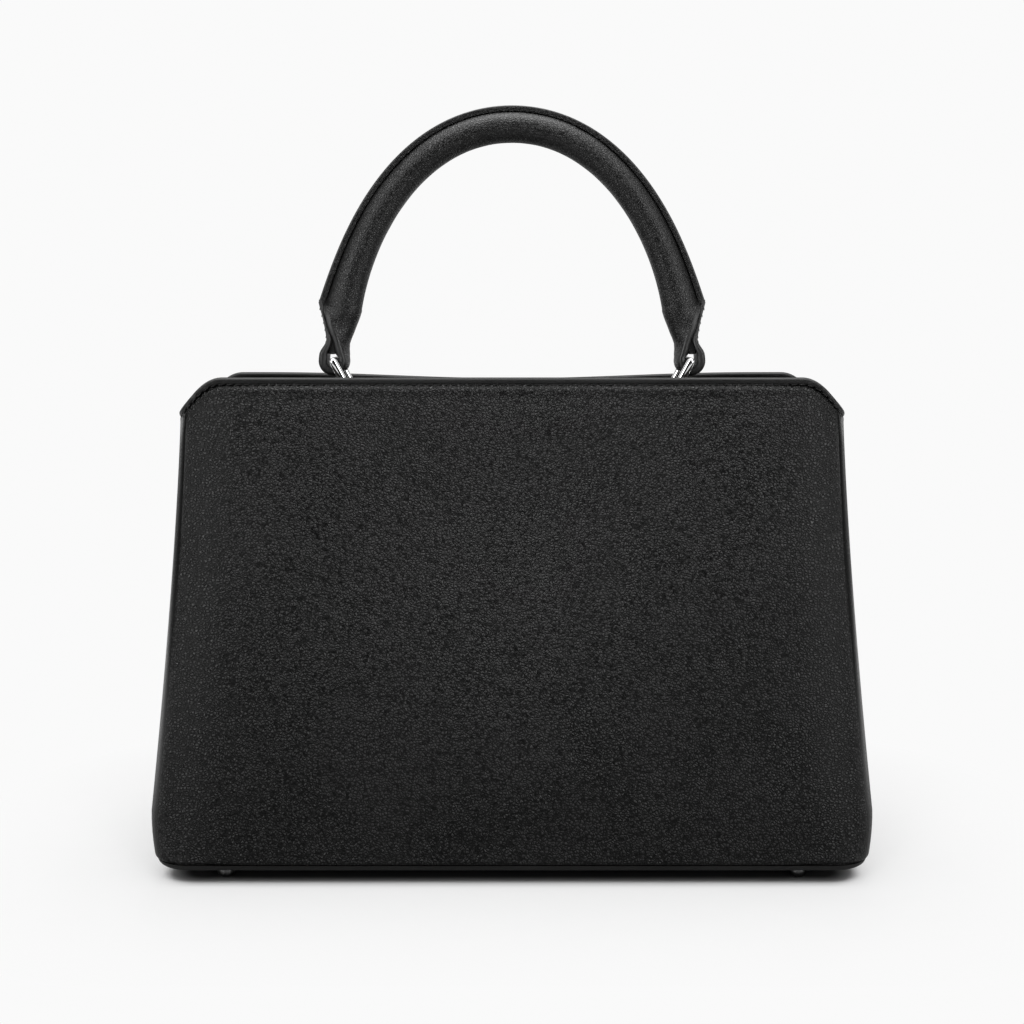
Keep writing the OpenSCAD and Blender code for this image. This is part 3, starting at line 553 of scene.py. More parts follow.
def buildStitchTree():
    tree, given, out = newGroup("stitchRun", "GeometryNodeTree", [
        ("Geometry", "NodeSocketGeometry", None), ("Pitch", "NodeSocketFloat", stitch["pitch"]),
        ("Length", "NodeSocketFloat", stitch["length"]), ("Width", "NodeSocketFloat", stitch["width"]),
        ("Height", "NodeSocketFloat", stitch["height"]), ("Slant", "NodeSocketFloat", stitch["slant"]),
        ("Uneven", "NodeSocketFloat", stitch["uneven"]), ("Seed", "NodeSocketInt", stitch["seed"]),
        ("Finish", "NodeSocketMaterial", None)],
        [("Geometry", "NodeSocketGeometry")])
    curve = addNode(tree, "GeometryNodeMeshToCurve", {"Mesh": given["Geometry"]})
    spaced = addNode(tree, "GeometryNodeResampleCurve", {"Curve": curve.outputs[0], "Length": given["Pitch"]},
                     mode="LENGTH")
    outward = addNode(tree, "GeometryNodeInputNamedAttribute", {"Name": "outward"}, data_type="FLOAT_VECTOR")
    upright = addNode(tree, "FunctionNodeAlignRotationToVector", {"Vector": outward.outputs[0]}, axis="Z")
    along = addNode(tree, "FunctionNodeAlignRotationToVector", {
        "Rotation": upright.outputs[0], "Vector": tree.nodes.new("GeometryNodeInputTangent").outputs[0]},
        axis="X", pivot_axis="Z")
    low = sums(tree, "SUBTRACT", given["Slant"], given["Uneven"])
    high = sums(tree, "ADD", given["Slant"], given["Uneven"])
    lean = addNode(tree, "FunctionNodeRandomValue", {2: low, 3: high, "Seed": given["Seed"]}, data_type="FLOAT")
    turn = addNode(tree, "FunctionNodeEulerToRotation",
                   {0: addNode(tree, "ShaderNodeCombineXYZ", {"Z": lean.outputs[1]}).outputs[0]})
    leaning = addNode(tree, "FunctionNodeRotateRotation",
                      {"Rotation": along.outputs[0], "Rotate By": turn.outputs[0]}, rotation_space="LOCAL")
    bead = addNode(tree, "GeometryNodeMeshUVSphere", {"Segments": 8, "Rings": 6, "Radius": 0.5})
    size = addNode(tree, "ShaderNodeCombineXYZ", {"X": given["Length"], "Y": given["Width"], "Z": given["Height"]})
    copies = addNode(tree, "GeometryNodeInstanceOnPoints", {
        "Points": spaced.outputs[0], "Instance": bead.outputs["Mesh"], "Rotation": leaning.outputs[0],
        "Scale": size.outputs[0]})
    real = addNode(tree, "GeometryNodeRealizeInstances", {0: copies.outputs[0]})
    soft = addNode(tree, "GeometryNodeSetShadeSmooth", {"Geometry": real.outputs[0]})
    done = addNode(tree, "GeometryNodeSetMaterial", {"Geometry": soft.outputs[0], "Material": given["Finish"]})
    tree.links.new(done.outputs[0], out["Geometry"])
    return tree


stitchTree = buildStitchTree()


def runTree(obj, tree, values):
    modifier = obj.modifiers.new("nodes", "NODES")
    modifier.node_group = tree
    for item in tree.interface.items_tree:
        if item.item_type == "SOCKET" and item.in_out == "INPUT" and item.name in values:
            modifier[item.identifier] = values[item.name]
    graph = bpy.context.evaluated_depsgraph_get()
    mesh = bpy.data.meshes.new_from_object(obj.evaluated_get(graph))
    obj.modifiers.remove(modifier)
    return mesh


def stitchesAlong(paths, **values):
    # paths: lists of (point, outward); gives one part of makePiece with all the stitches
    points, edges, outward = [], [], []
    for path in paths:
        start = len(points)
        points += [tuple(p) for p, _ in path]
        outward += [c for _, n in path for c in n]
        edges += [(start + i, start + i + 1) for i in range(len(path) - 1)]
    mesh = bpy.data.meshes.new("path")
    mesh.from_pydata(points, edges, [])
    mesh.attributes.new("outward", "FLOAT_VECTOR", "POINT").data.foreach_set("vector", outward)
    obj = bpy.data.objects.new("path", mesh)
    scene.collection.objects.link(obj)
    given = {label.capitalize(): value for label, value in stitch.items()}
    result = runTree(obj, stitchTree, {**given, "Finish": threadFinish, **values})
    part = ([v.co.copy() for v in result.vertices], [tuple(p.vertices) for p in result.polygons],
            [threadFinish], None)
    bpy.data.objects.remove(obj)
    return part


# The body's form, as in the part's source
bag = {
    "width": 331 * mm, "widestZ": 30 * mm, "shoulder": 308.2 * mm, "baseDepth": 150 * mm, "mouthDepth": 60 * mm,
    "rimZ": 226.4 * mm, "seamZ": 9.7 * mm, "tuck": 2 * mm, "flarePower": 1.5, "belly": 1.5 * mm,
    "cornerLow": 18 * mm, "cornerTop": 12 * mm, "cutX": 140 * mm, "cutRound": 6.5 * mm,
    "cutSlope": math.tan(math.radians(48)),
    "pinch": 12.5 * mm, "pinchHalf": 130 * mm, "pinchLowZ": 40 * mm, "pinchFullZ": 200 * mm,
    "dip": {"front": 0.6 * mm, "back": 2.4 * mm}, "leather": 1.6 * mm, "liningDepth": 3.0 * mm, "wall": 3.8 * mm,
}
notchZ = bag["rimZ"] - (bag["shoulder"] / 2 - bag["cutX"]) * bag["cutSlope"]


def riseAt(z):
    return (z - bag["seamZ"]) / (bag["rimZ"] - bag["seamZ"])


def halfWidth(z):
    if z < bag["widestZ"]:
        return bag["width"] / 2 - bag["tuck"] * ((bag["widestZ"] - z) / (bag["widestZ"] - bag["seamZ"])) ** 2
    flare = clamp((notchZ - z) / (notchZ - bag["widestZ"])) ** bag["flarePower"]
    return mix(bag["shoulder"] / 2, bag["width"] / 2, flare)


def halfDepth(z):
    r = riseAt(z)
    return mix(bag["baseDepth"], bag["mouthDepth"], r) / 2 + 4 * bag["belly"] * r * (1 - r)


def cornerRadius(z):
    return mix(bag["cornerLow"], bag["cornerTop"], riseAt(z))


def drawAcross(x):
    return clamp(1 - (x / bag["pinchHalf"]) ** 2) ** 3


def rimHeight(x, side):
    d, r = abs(x) - bag["cutX"], bag["cutRound"]
    drop = 0 if d < -r else d if d > r else (d + r) ** 2 / (4 * r)
    return bag["rimZ"] - bag["cutSlope"] * drop - bag["dip"][side] * drawAcross(x)


def wallPoint(p, z, depth, side):
    # p runs from -1 to 1 over the flat face and on to -2 and 2 round the corners
    r = cornerRadius(z)
    turn = math.copysign(max(0.0, abs(p) - 1) * math.pi / 2, p)
    x = clamp(p, -1, 1) * (halfWidth(z) - r) + (r - depth) * math.sin(turn)
    drawn = drawAcross(x) * smooth((z - bag["pinchLowZ"]) / (bag["pinchFullZ"] - bag["pinchLowZ"]))
    y = -(halfDepth(z) - r) - (r - depth) * math.cos(turn) + bag["pinch"] * drawn
    return Vector((x, y if side == "front" else -y, z))


def rimTop(p, side):
    return rimHeight(wallPoint(p, bag["rimZ"], 0, side).x, side)


def wallNormal(p, z, side):
    across = wallPoint(p + 0.004, z, 0, side) - wallPoint(p - 0.004, z, 0, side)
    up = wallPoint(p, z + 0.0005, 0, side) - wallPoint(p, z - 0.0005, 0, side)
    n = across.cross(up) if side == "front" else up.cross(across)
    return n.normalized()


def evenColumns(side, drop, pitch, parts):
    # values of p at equal distances along the rim, with this many parts to a stitch
    steps = 1600
    ps = [-2 + 4 * i / steps for i in range(steps + 1)]
    lengths, previous = [0.0], None
    for p in ps:
        here = wallPoint(p, rimTop(p, side) - drop, 0, side)
        if previous is not None:
            lengths.append(lengths[-1] + (here - previous).length)
        previous = here
    count = round(lengths[-1] / pitch) * parts
    columns = []
    for k in range(count + 1):
        target = lengths[-1] * k / count
        i = min(steps - 1, max(0, bisect.bisect_right(lengths, target) - 1))
        span = lengths[i + 1] - lengths[i]
        columns.append(mix(ps[i], ps[i + 1], (target - lengths[i]) / span if span else 0))
    return columns


wallForm = {
    "stitchDrop": 3.15 * mm, "grooveDepth": 0.75 * mm, "grooveWidth": 0.55 * mm, "pucker": 0.22 * mm,
    "puckerLow": 1.1 * mm, "puckerWidth": 1.0 * mm, "puff": 0.85 * mm, "puffLow": 2.4 * mm, "puffWidth": 1.9 * mm,
    "turnWidth": 15 * mm, "turnSlope": 0.26, "turnLevel": 4.5 * mm, "turnEnd": 10 * mm,
    "leanWidth": 13 * mm, "leanSlope": 0.22, "fallTop": 0.150, "fallWidth": 0.120, "fallSlope": 0.10,
    "waves": 0.8 * mm, "waveCount": (13, 17), "smallWaves": 0.12 * mm, "smallCount": (34, 30),
    "waveTop": (5 * mm, 26 * mm), "waveLow": (2 * mm, 24 * mm), "seed": {"front": 2.3, "back": 8.9},
    "curlRadius": 1.5 * mm, "partsPerStitch": 4, "puffFade": (-0.4 * mm, 1.2 * mm),
    "sideEase": 0.9 * mm, "easeFade": (0.78, 0.22), "pressWidth": 5.4 * mm, "pressEdge": 1.2 * mm,
    "pressBack": (7 * mm, 6 * mm), "pressLeft": 0.15,
    "topRows": (1.0, 1.8, 2.3, 2.6, 2.85, 3.1, 3.4, 3.8, 4.4, 5.2, 6.4, 8.0, 10.0, 12.5),
    "lowRows": (3.4, 2.4, 1.6, 1.0, 0.55, 0.22, 0.0), "middleRows": 54,
}
rimColumns = {side: evenColumns(side, wallForm["stitchDrop"], stitch["pitch"], wallForm["partsPerStitch"])
              for side in ("front", "back")}


def waves(x, z, side):
    seed = wallForm["seed"][side]
    (wideX, wideZ), (smallX, smallZ) = wallForm["waveCount"], wallForm["smallCount"]
    fade = fadeIn(rimHeight(x, side) - z, *wallForm["waveTop"]) * fadeIn(z - bag["seamZ"], *wallForm["waveLow"])
    wide = noise.noise(Vector((x * wideX, seed, z * wideZ))) + 0.5
    small = noise.noise(Vector((x * smallX, seed + 3, z * smallZ)))
    return fade * (wallForm["waves"] * wide + wallForm["smallWaves"] * small)


def rowHeights(top):
    low = bag["seamZ"]
    rows = [top - v * mm for v in wallForm["topRows"]]
    start, end, n = rows[-1], low + wallForm["lowRows"][0] * mm, wallForm["middleRows"]
    rows += [mix(start, end, k / n) for k in range(1, n)]
    return rows + [low + v * mm for v in wallForm["lowRows"]]


def leatherDepth(i, p, z, top, side):
    x = wallPoint(p, z, 0, side).x
    v = top - z - wallForm["stitchDrop"]
    beat = math.cos(math.pi * (i % wallForm["partsPerStitch"] - 2) / 2)      # 1 at a stitch, -1 between two
    depth = wallForm["grooveDepth"] * bell(v, wallForm["grooveWidth"]) * (0.55 + 0.45 * beat)
    depth += wallForm["pucker"] * beat * bell(v - wallForm["puckerLow"], wallForm["puckerWidth"])
    puffed = fadeIn(v, *wallForm["puffFade"]) * smooth((1.6 - abs(p)) / 0.5)
    depth -= wallForm["puff"] * bell(v - wallForm["puffLow"], wallForm["puffWidth"]) * puffed
    depth += curl(z - bag["seamZ"], wallForm["curlRadius"])
    depth += wallForm["sideEase"] * fadeIn(abs(p), *wallForm["easeFade"]) * smooth((1.65 - abs(p)) / 0.5)
    depth += curl((2 - abs(p)) * math.pi / 2 * cornerRadius(z), wallForm["curlRadius"])
    return min(depth, bag["leather"] * 0.97) - waves(x, z, side) * smooth((1.7 - abs(p)) / 0.7)


def turnedSide(p):
    # how far the soft edges lie back, shown by the finish: below the rim, and at the side on to the corner
    low = max(0.0, wallForm["fallTop"] - p.z)
    return turnedAcross(p) + turnedUp(p) + wallForm["fallSlope"] * low ** 2 / (2 * wallForm["fallWidth"])


def turnedUp(p):
    side, width = "front" if p.y < 0 else "back", wallForm["leanWidth"]
    v = rimHeight(p.x, side) - wallForm["stitchDrop"] - p.z
    return wallForm["leanSlope"] * clamp(width - v, 0, width) ** 2 / (2 * width)


def turnedAcross(p):
    r = cornerRadius(p.z)
    e = abs(p.x) - (halfWidth(p.z) - r)
    width, slope = wallForm["turnWidth"], wallForm["turnSlope"]
    if e < 0:
        return slope * max(0.0, e + width) ** 2 / (2 * width)
    s = min(wallForm["turnEnd"], r * math.asin(clamp(e / r)))
    return slope * (width / 2 + s - s * s / (2 * wallForm["turnLevel"]))


def pressedAndShadedSide(p):
    # the grain is pressed flat where the leather goes round the corner, and comes back on the side; there most of its
    # shine is taken away as painted shade
    back = halfDepth(p.z) - abs(p.y)
    return (fadeIn(abs(p.x) - halfWidth(p.z), -wallForm["pressWidth"], wallForm["pressEdge"])
            * mix(1, wallForm["pressLeft"], fadeIn(back, *wallForm["pressBack"])))


# Where the leather is rubbed: at the lower corners, at the rim's ends and at the binding's ends
rubForm = {"low": 0.5, "lowTop": 34 * mm, "lowFade": 22 * mm, "lowX": 140 * mm, "high": 0.25,
           "highZ": (219 * mm, 6 * mm), "highX": 125 * mm, "binding": 0.8, "bindingX": 128 * mm, "fade": 20 * mm}


def wallRub(p):
    low = smooth((rubForm["lowTop"] - p.z) / rubForm["lowFade"]) * fadeIn(abs(p.x), rubForm["lowX"], rubForm["fade"])
    high = fadeIn(p.z, *rubForm["highZ"]) * fadeIn(abs(p.x), rubForm["highX"], rubForm["fade"])
    return rubForm["low"] * low + rubForm["high"] * high


liningForm = {"drop": 1.0 * mm, "swell": 0.35 * mm, "count": (5, 25), "seed": {"front": 4.4, "back": 7.7},
              "fade": 0.1}


def buildWall(side):
    columns, body = rimColumns[side], side + "_wall"
    outer, inner = [], []
    tops = [rimTop(p, side) for p in columns]
    heights = [rowHeights(top) for top in tops]
    for r in range(len(heights[0])):
        outer.append([wallPoint(p, heights[i][r], leatherDepth(i, p, heights[i][r], tops[i], side), side)
                      for i, p in enumerate(columns)])
        inner.append([wallPoint(p, heights[i][r], bag["leather"], side) for i, p in enumerate(columns)])
    makePiece(side + "Leather", [shell(outer, inner, [pebbledLeather, smoothLeather], 1, 1)], body,
              [side + "_panel"], "outer_leather", rub=wallRub, turned=turnedSide,
              pressed=pressedAndShadedSide)
    # lining, with soft rumples
    shares = [k / 40 for k in range(41)]
    few = [-2 + 4 * k / 120 for k in range(121)]

    def liningPoint(p, share, depth, swell):
        z = mix(bag["seamZ"], rimTop(p, side) - liningForm["drop"], share)
        (countP, countZ), fade = liningForm["count"], liningForm["fade"]
        lumps = noise.noise(Vector((p * countP, z * countZ, liningForm["seed"][side])))
        bump = swell * (0.5 + lumps) * liningForm["swell"] * smooth(share / fade) * smooth((1 - share) / fade)
        return wallPoint(p, z, depth + bump, side)

    near = [[liningPoint(p, s, bag["liningDepth"], 0) for p in few] for s in shares]
    far = [[liningPoint(p, s, bag["wall"], 1) for p in few] for s in shares]
    makePiece(side + "Lining", [shell(near, far, [liningCloth])], body, [side + "_lining"], "lining")


# Outline of the binding over the rim: depth under the outer face, and drop under its top
bindingOutline = [
    (-0.06, 2.76), (-0.34, 2.5), (-0.54, 1.95), (-0.60, 1.3), (-0.50, 0.76), (-0.26, 0.34), (0.14, 0.10),
    (0.9, -0.02), (2.0, -0.02), (2.9, 0.06), (3.6, 0.30), (4.08, 0.72), (4.36, 1.26), (4.46, 1.9), (4.40, 2.45),
    (4.12, 2.72), (3.92, 2.6), (3.92, 1.3), (3.3, 0.78), (0.5, 0.74), (-0.12, 1.0), (-0.12, 2.6)]

# In mm: how deep the stitches press it in and draw it down, where that starts, and the middle of its thickness
bindingForm = {"press": 0.14, "dip": 0.10, "lowFrom": (1.2, 1.4), "middle": 1.9}


def buildBinding(side):
    rings = []
    for i, p in enumerate(rimColumns[side]):
        top = rimTop(p, side)
        beat = math.cos(math.pi * (i % wallForm["partsPerStitch"] - 2) / 2)
        ring = []
        for depth, drop in bindingOutline:
            low = fadeIn(drop, *bindingForm["lowFrom"])
            outward = -1 if depth < bindingForm["middle"] else 1
            pressed = bindingForm["press"] * low * (0.5 + 0.5 * beat)
            dipped = bindingForm["dip"] * low * beat
            ring.append(wallPoint(p, top - (drop + dipped) * mm, (depth - outward * pressed) * mm, side))
        rings.append(ring)
    body = side + "_wall"

    def rubbed(p):
        return rubForm["binding"] * fadeIn(abs(p.x), rubForm["bindingX"], rubForm["fade"])

    makePiece(side + "Binding", [sweep(rings, [smoothLeather])], body, [side + "_binding"], "smooth_leather",
              rub=rubbed)
    outside, inside = [], []
    for p in rimColumns[side][1:-1]:
        z = rimTop(p, side) - wallForm["stitchDrop"]
        n = wallNormal(p, z, side)
        outside.append((wallPoint(p, z, 0.22 * mm, side), n))
        inside.append((wallPoint(p, z, bag["wall"] + 0.02 * mm, side), -n))
    makePiece(side + "RimStitches", [stitchesAlong([outside, inside])], body, slot="tape")


for wallSide in ("front", "back"):
    buildWall(wallSide)
    buildBinding(wallSide)
print("walls are lofted")


# Side gussets
gusset = {"thick": 2.0 * mm, "pleat": 30 * mm, "pleatPower": 1.3, "gap": 0.3 * mm, "dip": 6 * mm, "round": 0.55,
          "trimOut": 0.5 * mm, "trimDrop": 3.0 * mm, "curl": 1.2 * mm, "seamIn": 3.2 * mm, "lump": 0.5 * mm,
          "lumpCount": (2.2, 22), "lumpFade": (0.2, 0.15), "lumpLow": 20 * mm, "trimStitch": 2.3 * mm}


def pleatIn(z):
    return gusset["pleat"] * clamp((z - bag["seamZ"]) / (notchZ - bag["seamZ"])) ** gusset["pleatPower"]


def gussetLine(z, w):
    # w runs from the wall's edge to the fold; right side, front half
    edgeX, edgeY = halfWidth(z), -(halfDepth(z) - cornerRadius(z)) + gusset["gap"]
    bend = mix(w, math.sin(w * math.pi / 2), gusset["round"])
    return Vector((edgeX - pleatIn(z) * bend, mix(edgeY, -gusset["gap"] / 2, w)))


def gussetPoint(z, w, depth, mirrorX, mirrorY):
    here = gussetLine(z, w)
    along = (gussetLine(z, min(1, w + 0.01)) - gussetLine(z, max(0, w - 0.01))).normalized()
    inward = Vector((-along.y, along.x))
    if inward.x > 0:
        inward = -inward
    inward = Vector((-1, 0)).lerp(inward, smooth(w / 0.12)) if w < 0.12 else inward
    inward = inward.lerp(Vector((-1, 0)), smooth((w - 0.86) / 0.14))
    p = here + inward.normalized() * depth
    return Vector((mirrorX * p.x, mirrorY * p.y, z))


def buildGusset(sideName, endName):
    mirrorX = 1 if sideName == "right" else -1
    mirrorY = 1 if endName == "front" else -1
    across = [k / 26 for k in range(27)]
    upwards = [0, 0.003, 0.008, 0.015, 0.03] + [k / 46 for k in range(2, 46)] + [0.985, 0.993, 1]

    def grid(depth, outside):
        rows = []
        for s in reversed(upwards):
            row = []
            for w in across:
                top = notchZ - gusset["dip"] * smooth(w)
                z = mix(bag["seamZ"], top, s)
                d = depth
                if outside:
                    length = abs(halfDepth(z) - cornerRadius(z))
                    d += curl(w * length, gusset["curl"]) + curl(z - bag["seamZ"], gusset["curl"])
                    (countW, countZ), (foldFade, edgeFade) = gusset["lumpCount"], gusset["lumpFade"]
                    lumps = 0.5 - noise.noise(Vector((w * countW, z * countZ, 3 * mirrorX + mirrorY)))
                    d += gusset["lump"] * lumps * smooth(w / foldFade) * smooth((1 - w) / edgeFade) \
                        * smooth((z - bag["seamZ"]) / gusset["lumpLow"])
                row.append(gussetPoint(z, w, d, mirrorX, mirrorY))
            rows.append(row)
        return rows

    def threadPoint(z, w, depth):
        here = gussetPoint(z, w, depth, mirrorX, mirrorY)
        return here, (here - gussetPoint(z, w, gusset["thick"], mirrorX, mirrorY)).normalized()

    panel = shell(grid(0, True), grid(gusset["thick"], False), [smoothLeather, edgePaint, liningCloth], 1, 2)
    t, out, drop = gusset["thick"] / mm, gusset["trimOut"] / mm, gusset["trimDrop"] / mm
    outline = [(-0.15, drop), (-out, drop - 0.3), (-out, 0.5), (-0.2, -0.1), (0.5, -0.4), (t - 0.5, -0.4),
               (t + 0.2, -0.1), (t + out, 0.5), (t + out, drop - 0.3), (t + 0.15, drop), (t + 0.05, 0.3),
               (-0.05, 0.3)]
    rings, threads = [], []
    for k in range(41):
        w = mix(0.03, 0.995, k / 40)
        top = notchZ - gusset["dip"] * smooth(w)
        rings.append([gussetPoint(top - d * mm, w, depth * mm, mirrorX, mirrorY) for depth, d in outline])
        threads.append(threadPoint(top - gusset["trimStitch"], w, -(out + 0.02) * mm))
    trim = sweep(rings, [smoothLeather])
    seam = []
    for k in range(61):
        z = mix(bag["seamZ"] + 4 * mm, notchZ - 5 * mm, k / 60)
        w = gusset["seamIn"] / (halfDepth(z) - cornerRadius(z))
        seam.append(threadPoint(z, w, 0.05 * mm))
    name = sideName + "Gusset" + endName.capitalize()
    obj = makePiece(name, [panel, trim, stitchesAlong([threads, seam])], None,
                    ["gusset_%s_%s" % (sideName, endName)], "smooth_leather")
    slope = Vector((0, -0.981, 0.192))      # across the line of the wall's edge
    start = Vector((0, 0, notchZ - gusset["dip"]))
    reach = (Vector((0, -(halfDepth(notchZ) - cornerRadius(notchZ)), notchZ)) - start).dot(slope)
    end = start + slope * reach
    start.y, end.y = start.y * mirrorY, end.y * mirrorY
    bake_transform(obj)


for gussetSide in ("left", "right"):
    for gussetEnd in ("front", "back"):
        buildGusset(gussetSide, gussetEnd)
print("gussets are folded")


# Base and feet
base = {"lowZ": 6.3 * mm, "topZ": 9.4 * mm, "floorLowZ": 13.0 * mm, "floorTopZ": 13.8 * mm, "floorIn": 5.6 * mm,
        "footX": 131 * mm, "footY": 60 * mm, "stitchIn": 7.5 * mm, "edgeIn": 1.0 * mm, "curve": 3.8 * mm,
        "groove": 0.25 * mm, "grooveTop": 0.9 * mm, "grooveFloor": 0.35 * mm, "innerIn": 16.5 * mm,
        # outline of a foot in mm, from its middle underneath to its screw's end
        "foot": ((0.001, 0), (2.2, 0), (3.0, 0.15), (3.55, 0.6), (3.95, 1.5), (4.05, 2.8), (3.9, 4.2), (3.7, 5.1),
                 (4.1, 5.5), (4.75, 5.7), (4.8, 6.3), (4.7, 6.95), (1.8, 6.98), (1.75, 11.5), (0.001, 11.6))}


def baseLoop(inset, side=26, corner=10):
    return roundedLoop(halfWidth(bag["seamZ"]) - inset, halfDepth(bag["seamZ"]) - inset,
                       cornerRadius(bag["seamZ"]) - inset, side, corner)


def buildBase():
    low, top = base["lowZ"], base["topZ"]
    edge = []       # an edge that curves up from the underside to the seam
    for k in range(9):
        a = math.radians(90 * k / 8)
        edge.append((base["edgeIn"] + base["curve"] * (1 - math.sin(a)), top - (top - low) * math.cos(a)))
    seam, wide, deep = base["stitchIn"], base["grooveTop"], base["grooveFloor"]
    profile = [(base["innerIn"], low), (seam + wide, low), (seam + deep, low + base["groove"]),
               (seam - deep, low + base["groove"]), (seam - wide, low)]
    profile += edge + [(5 * mm, top), (base["innerIn"], top)]
    rings = [[Vector((x, y, z)) for x, y in baseLoop(inset)] for inset, z in profile]
    threads = [(Vector((x, y, low + 0.12 * mm)), Vector((0, 0, -1))) for x, y in baseLoop(base["stitchIn"])]
    threads.append(threads[0])
    makePiece("baseLeather", [sweep(rings, [smoothLeather]), stitchesAlong([threads])], "carcass",
              ["base_panel"], "smooth_leather")
    low, top, r = base["floorLowZ"], base["floorTopZ"], 0.2 * mm
    profile = [(0.3 * mm, low), (0, low + r), (0, top - r), (0.3 * mm, top), (9 * mm, top)]
    rings = [[Vector((x, y, z)) for x, y in baseLoop(base["floorIn"] + inset)] for inset, z in profile]
    makePiece("floorLining", [sweep(rings, [liningCloth])], "carcass", ["base_lining"], "lining")
    foot = [(r * mm, h * mm) for r, h in base["foot"]]
    parts = [lathe(foot, (sx * base["footX"], sy * base["footY"], 0), shadedFootSteel)
             for sx in (-1, 1) for sy in (-1, 1)]
    makePiece("feetStuds", parts, "carcass", ["feet"], "polished_steel")


buildBase()
print("base is made")


# Rings
ring = {"topX": 84.2 * mm, "topZ": 233.2 * mm, "pitch": 18 * mm, "innerW": 20.8 * mm, "bar": 3.2 * mm,
        "thick": 4.0 * mm, "tilt": 28, "corner": 2.0 * mm, "innerCorner": 0.8 * mm, "oval": 2.1}
tilt = math.radians(ring["tilt"])
ringLow = Vector((ring["topX"] - ring["pitch"] * math.sin(tilt), 0, ring["topZ"] - ring["pitch"] * math.cos(tilt)))


def buildRing(sideName):
    sign = 1 if sideName == "right" else -1
    innerX, innerY = ring["innerW"] / 2, (ring["pitch"] - ring["bar"]) / 2
    outerLoop = roundedLoop(innerX + ring["bar"], innerY + ring["bar"], ring["corner"], 8, 8)
    innerLoop = roundedLoop(innerX, innerY, ring["innerCorner"], 8, 8)
    section = []        # share across the bar from the inside, and place through the thickness
    for k in range(28):
        a = 2 * math.pi * k / 28
        u, w = (math.copysign(abs(v) ** (2 / ring["oval"]), v) for v in (math.cos(a), math.sin(a)))
        section.append((0.5 + u / 2, w * ring["thick"] / 2))
    middle = (Vector((ring["topX"], 0, ring["topZ"])) + ringLow) / 2
    upward = Vector((math.sin(tilt), 0, math.cos(tilt)))
    away = Vector((math.cos(tilt), 0, -math.sin(tilt)))
    rings = []
    for (ox, oy), (ix, iy) in zip(outerLoop, innerLoop):
        bent = []
        for u, w in section:
            y, h = mix(ix, ox, u), mix(iy, oy, u)
            p = middle + Vector((0, y, 0)) + upward * h + away * w
            bent.append(Vector((sign * p.x, p.y, p.z)))
        rings.append(bent)
    makePiece(sideName + "Ring", [sweep(rings, [polishedSteel], closed=True)], "ring_" + sideName,
              ["ring_" + sideName], "polished_steel", sharp=50)


for ringSide in ("left", "right"):
    buildRing(ringSide)


# Handle
handle = {"top": 341.8 * mm, "flat": 0.548, "endX": 78.7 * mm, "endZ": 257.9 * mm, "splay": 7.6 * mm,
          "rise": 40.8 * mm, "roll": 7.0 * mm, "rope": 5.0 * mm, "crease": 7.2 * mm, "tip": 10.1 * mm,
          "flangeThick": 3.4 * mm, "threadIn": 0.95 * mm, "threadSide": 1.5 * mm, "endPower": 6,
          "endCrease": 2.9 * mm, "endTip": 3.3 * mm, "endRoll": 0.4 * mm, "stations": 97, "edgeRadius": 0.75 * mm,
          "rootAngle": 14, "lumps": 0.012,
          # where the flange leaves the roll, in mm: outwards from the crease, and half thickness
          "root": ((-1.35, 0.35), (-0.5, 0.5), (0.05, 0.95), (0.35, 1.50), (0.95, 1.46), (1.35, 1.62), (1.6, 1.70))}
gripLine = [Vector((0, handle["top"])), Vector((handle["flat"] * handle["endX"], handle["top"])),
            Vector((handle["endX"] - handle["splay"], handle["endZ"] + handle["rise"])),
            Vector((handle["endX"], handle["endZ"]))]


def gripAt(s):
    # place and outward way of the roll's centre in X and Z; s runs from -1 to 1
    t, q = abs(s), gripLine
    u = 1 - t
    c = q[0] * u ** 3 + q[1] * 3 * u * u * t + q[2] * 3 * u * t * t + q[3] * t ** 3
    w = ((q[1] - q[0]) * u * u + (q[2] - q[1]) * 2 * u * t + (q[3] - q[2]) * t * t).normalized()
    sign = -1 if s < 0 else 1
    return Vector((sign * c.x, 0, c.y)), Vector((-sign * w.y, 0, w.x))


def gripRing(s, section):
    centre, out = gripAt(s)
    return [centre + out * o + Vector((0, y, 0)) for o, y in section]


def coverSection(s):
    # from the flange's front face round its painted edge to the back, then round the roll
    e = abs(s) ** handle["endPower"]
    crease, top = handle["crease"] + e * handle["endCrease"], handle["tip"] + e * handle["endTip"]
    half, roll = handle["flangeThick"] / 2, handle["roll"]
    pts = [(crease + o * mm, -y * mm) for o, y in handle["root"]]
    r = handle["edgeRadius"]
    pts.append((top - 1.1 * mm, -half))
    for k in range(5):
        a = math.radians(90 * k / 4)
        pts.append((top - r + r * math.sin(a), -(half - r) - r * math.cos(a)))
    pts.append((top - 0.22 * mm, 0))
    pts = pts + [(o, -y) for o, y in reversed(pts[:-1])]
    for k in range(33):
        a = math.radians(mix(handle["rootAngle"], 360 - handle["rootAngle"], k / 32))
        reach = crease if math.cos(a) > 0 else roll + e * handle["endRoll"]
        pts.append((reach * math.cos(a), roll * math.sin(a)))
    return pts


def edgeMark(j):
    return 1 if 8 <= j <= 17 else 0


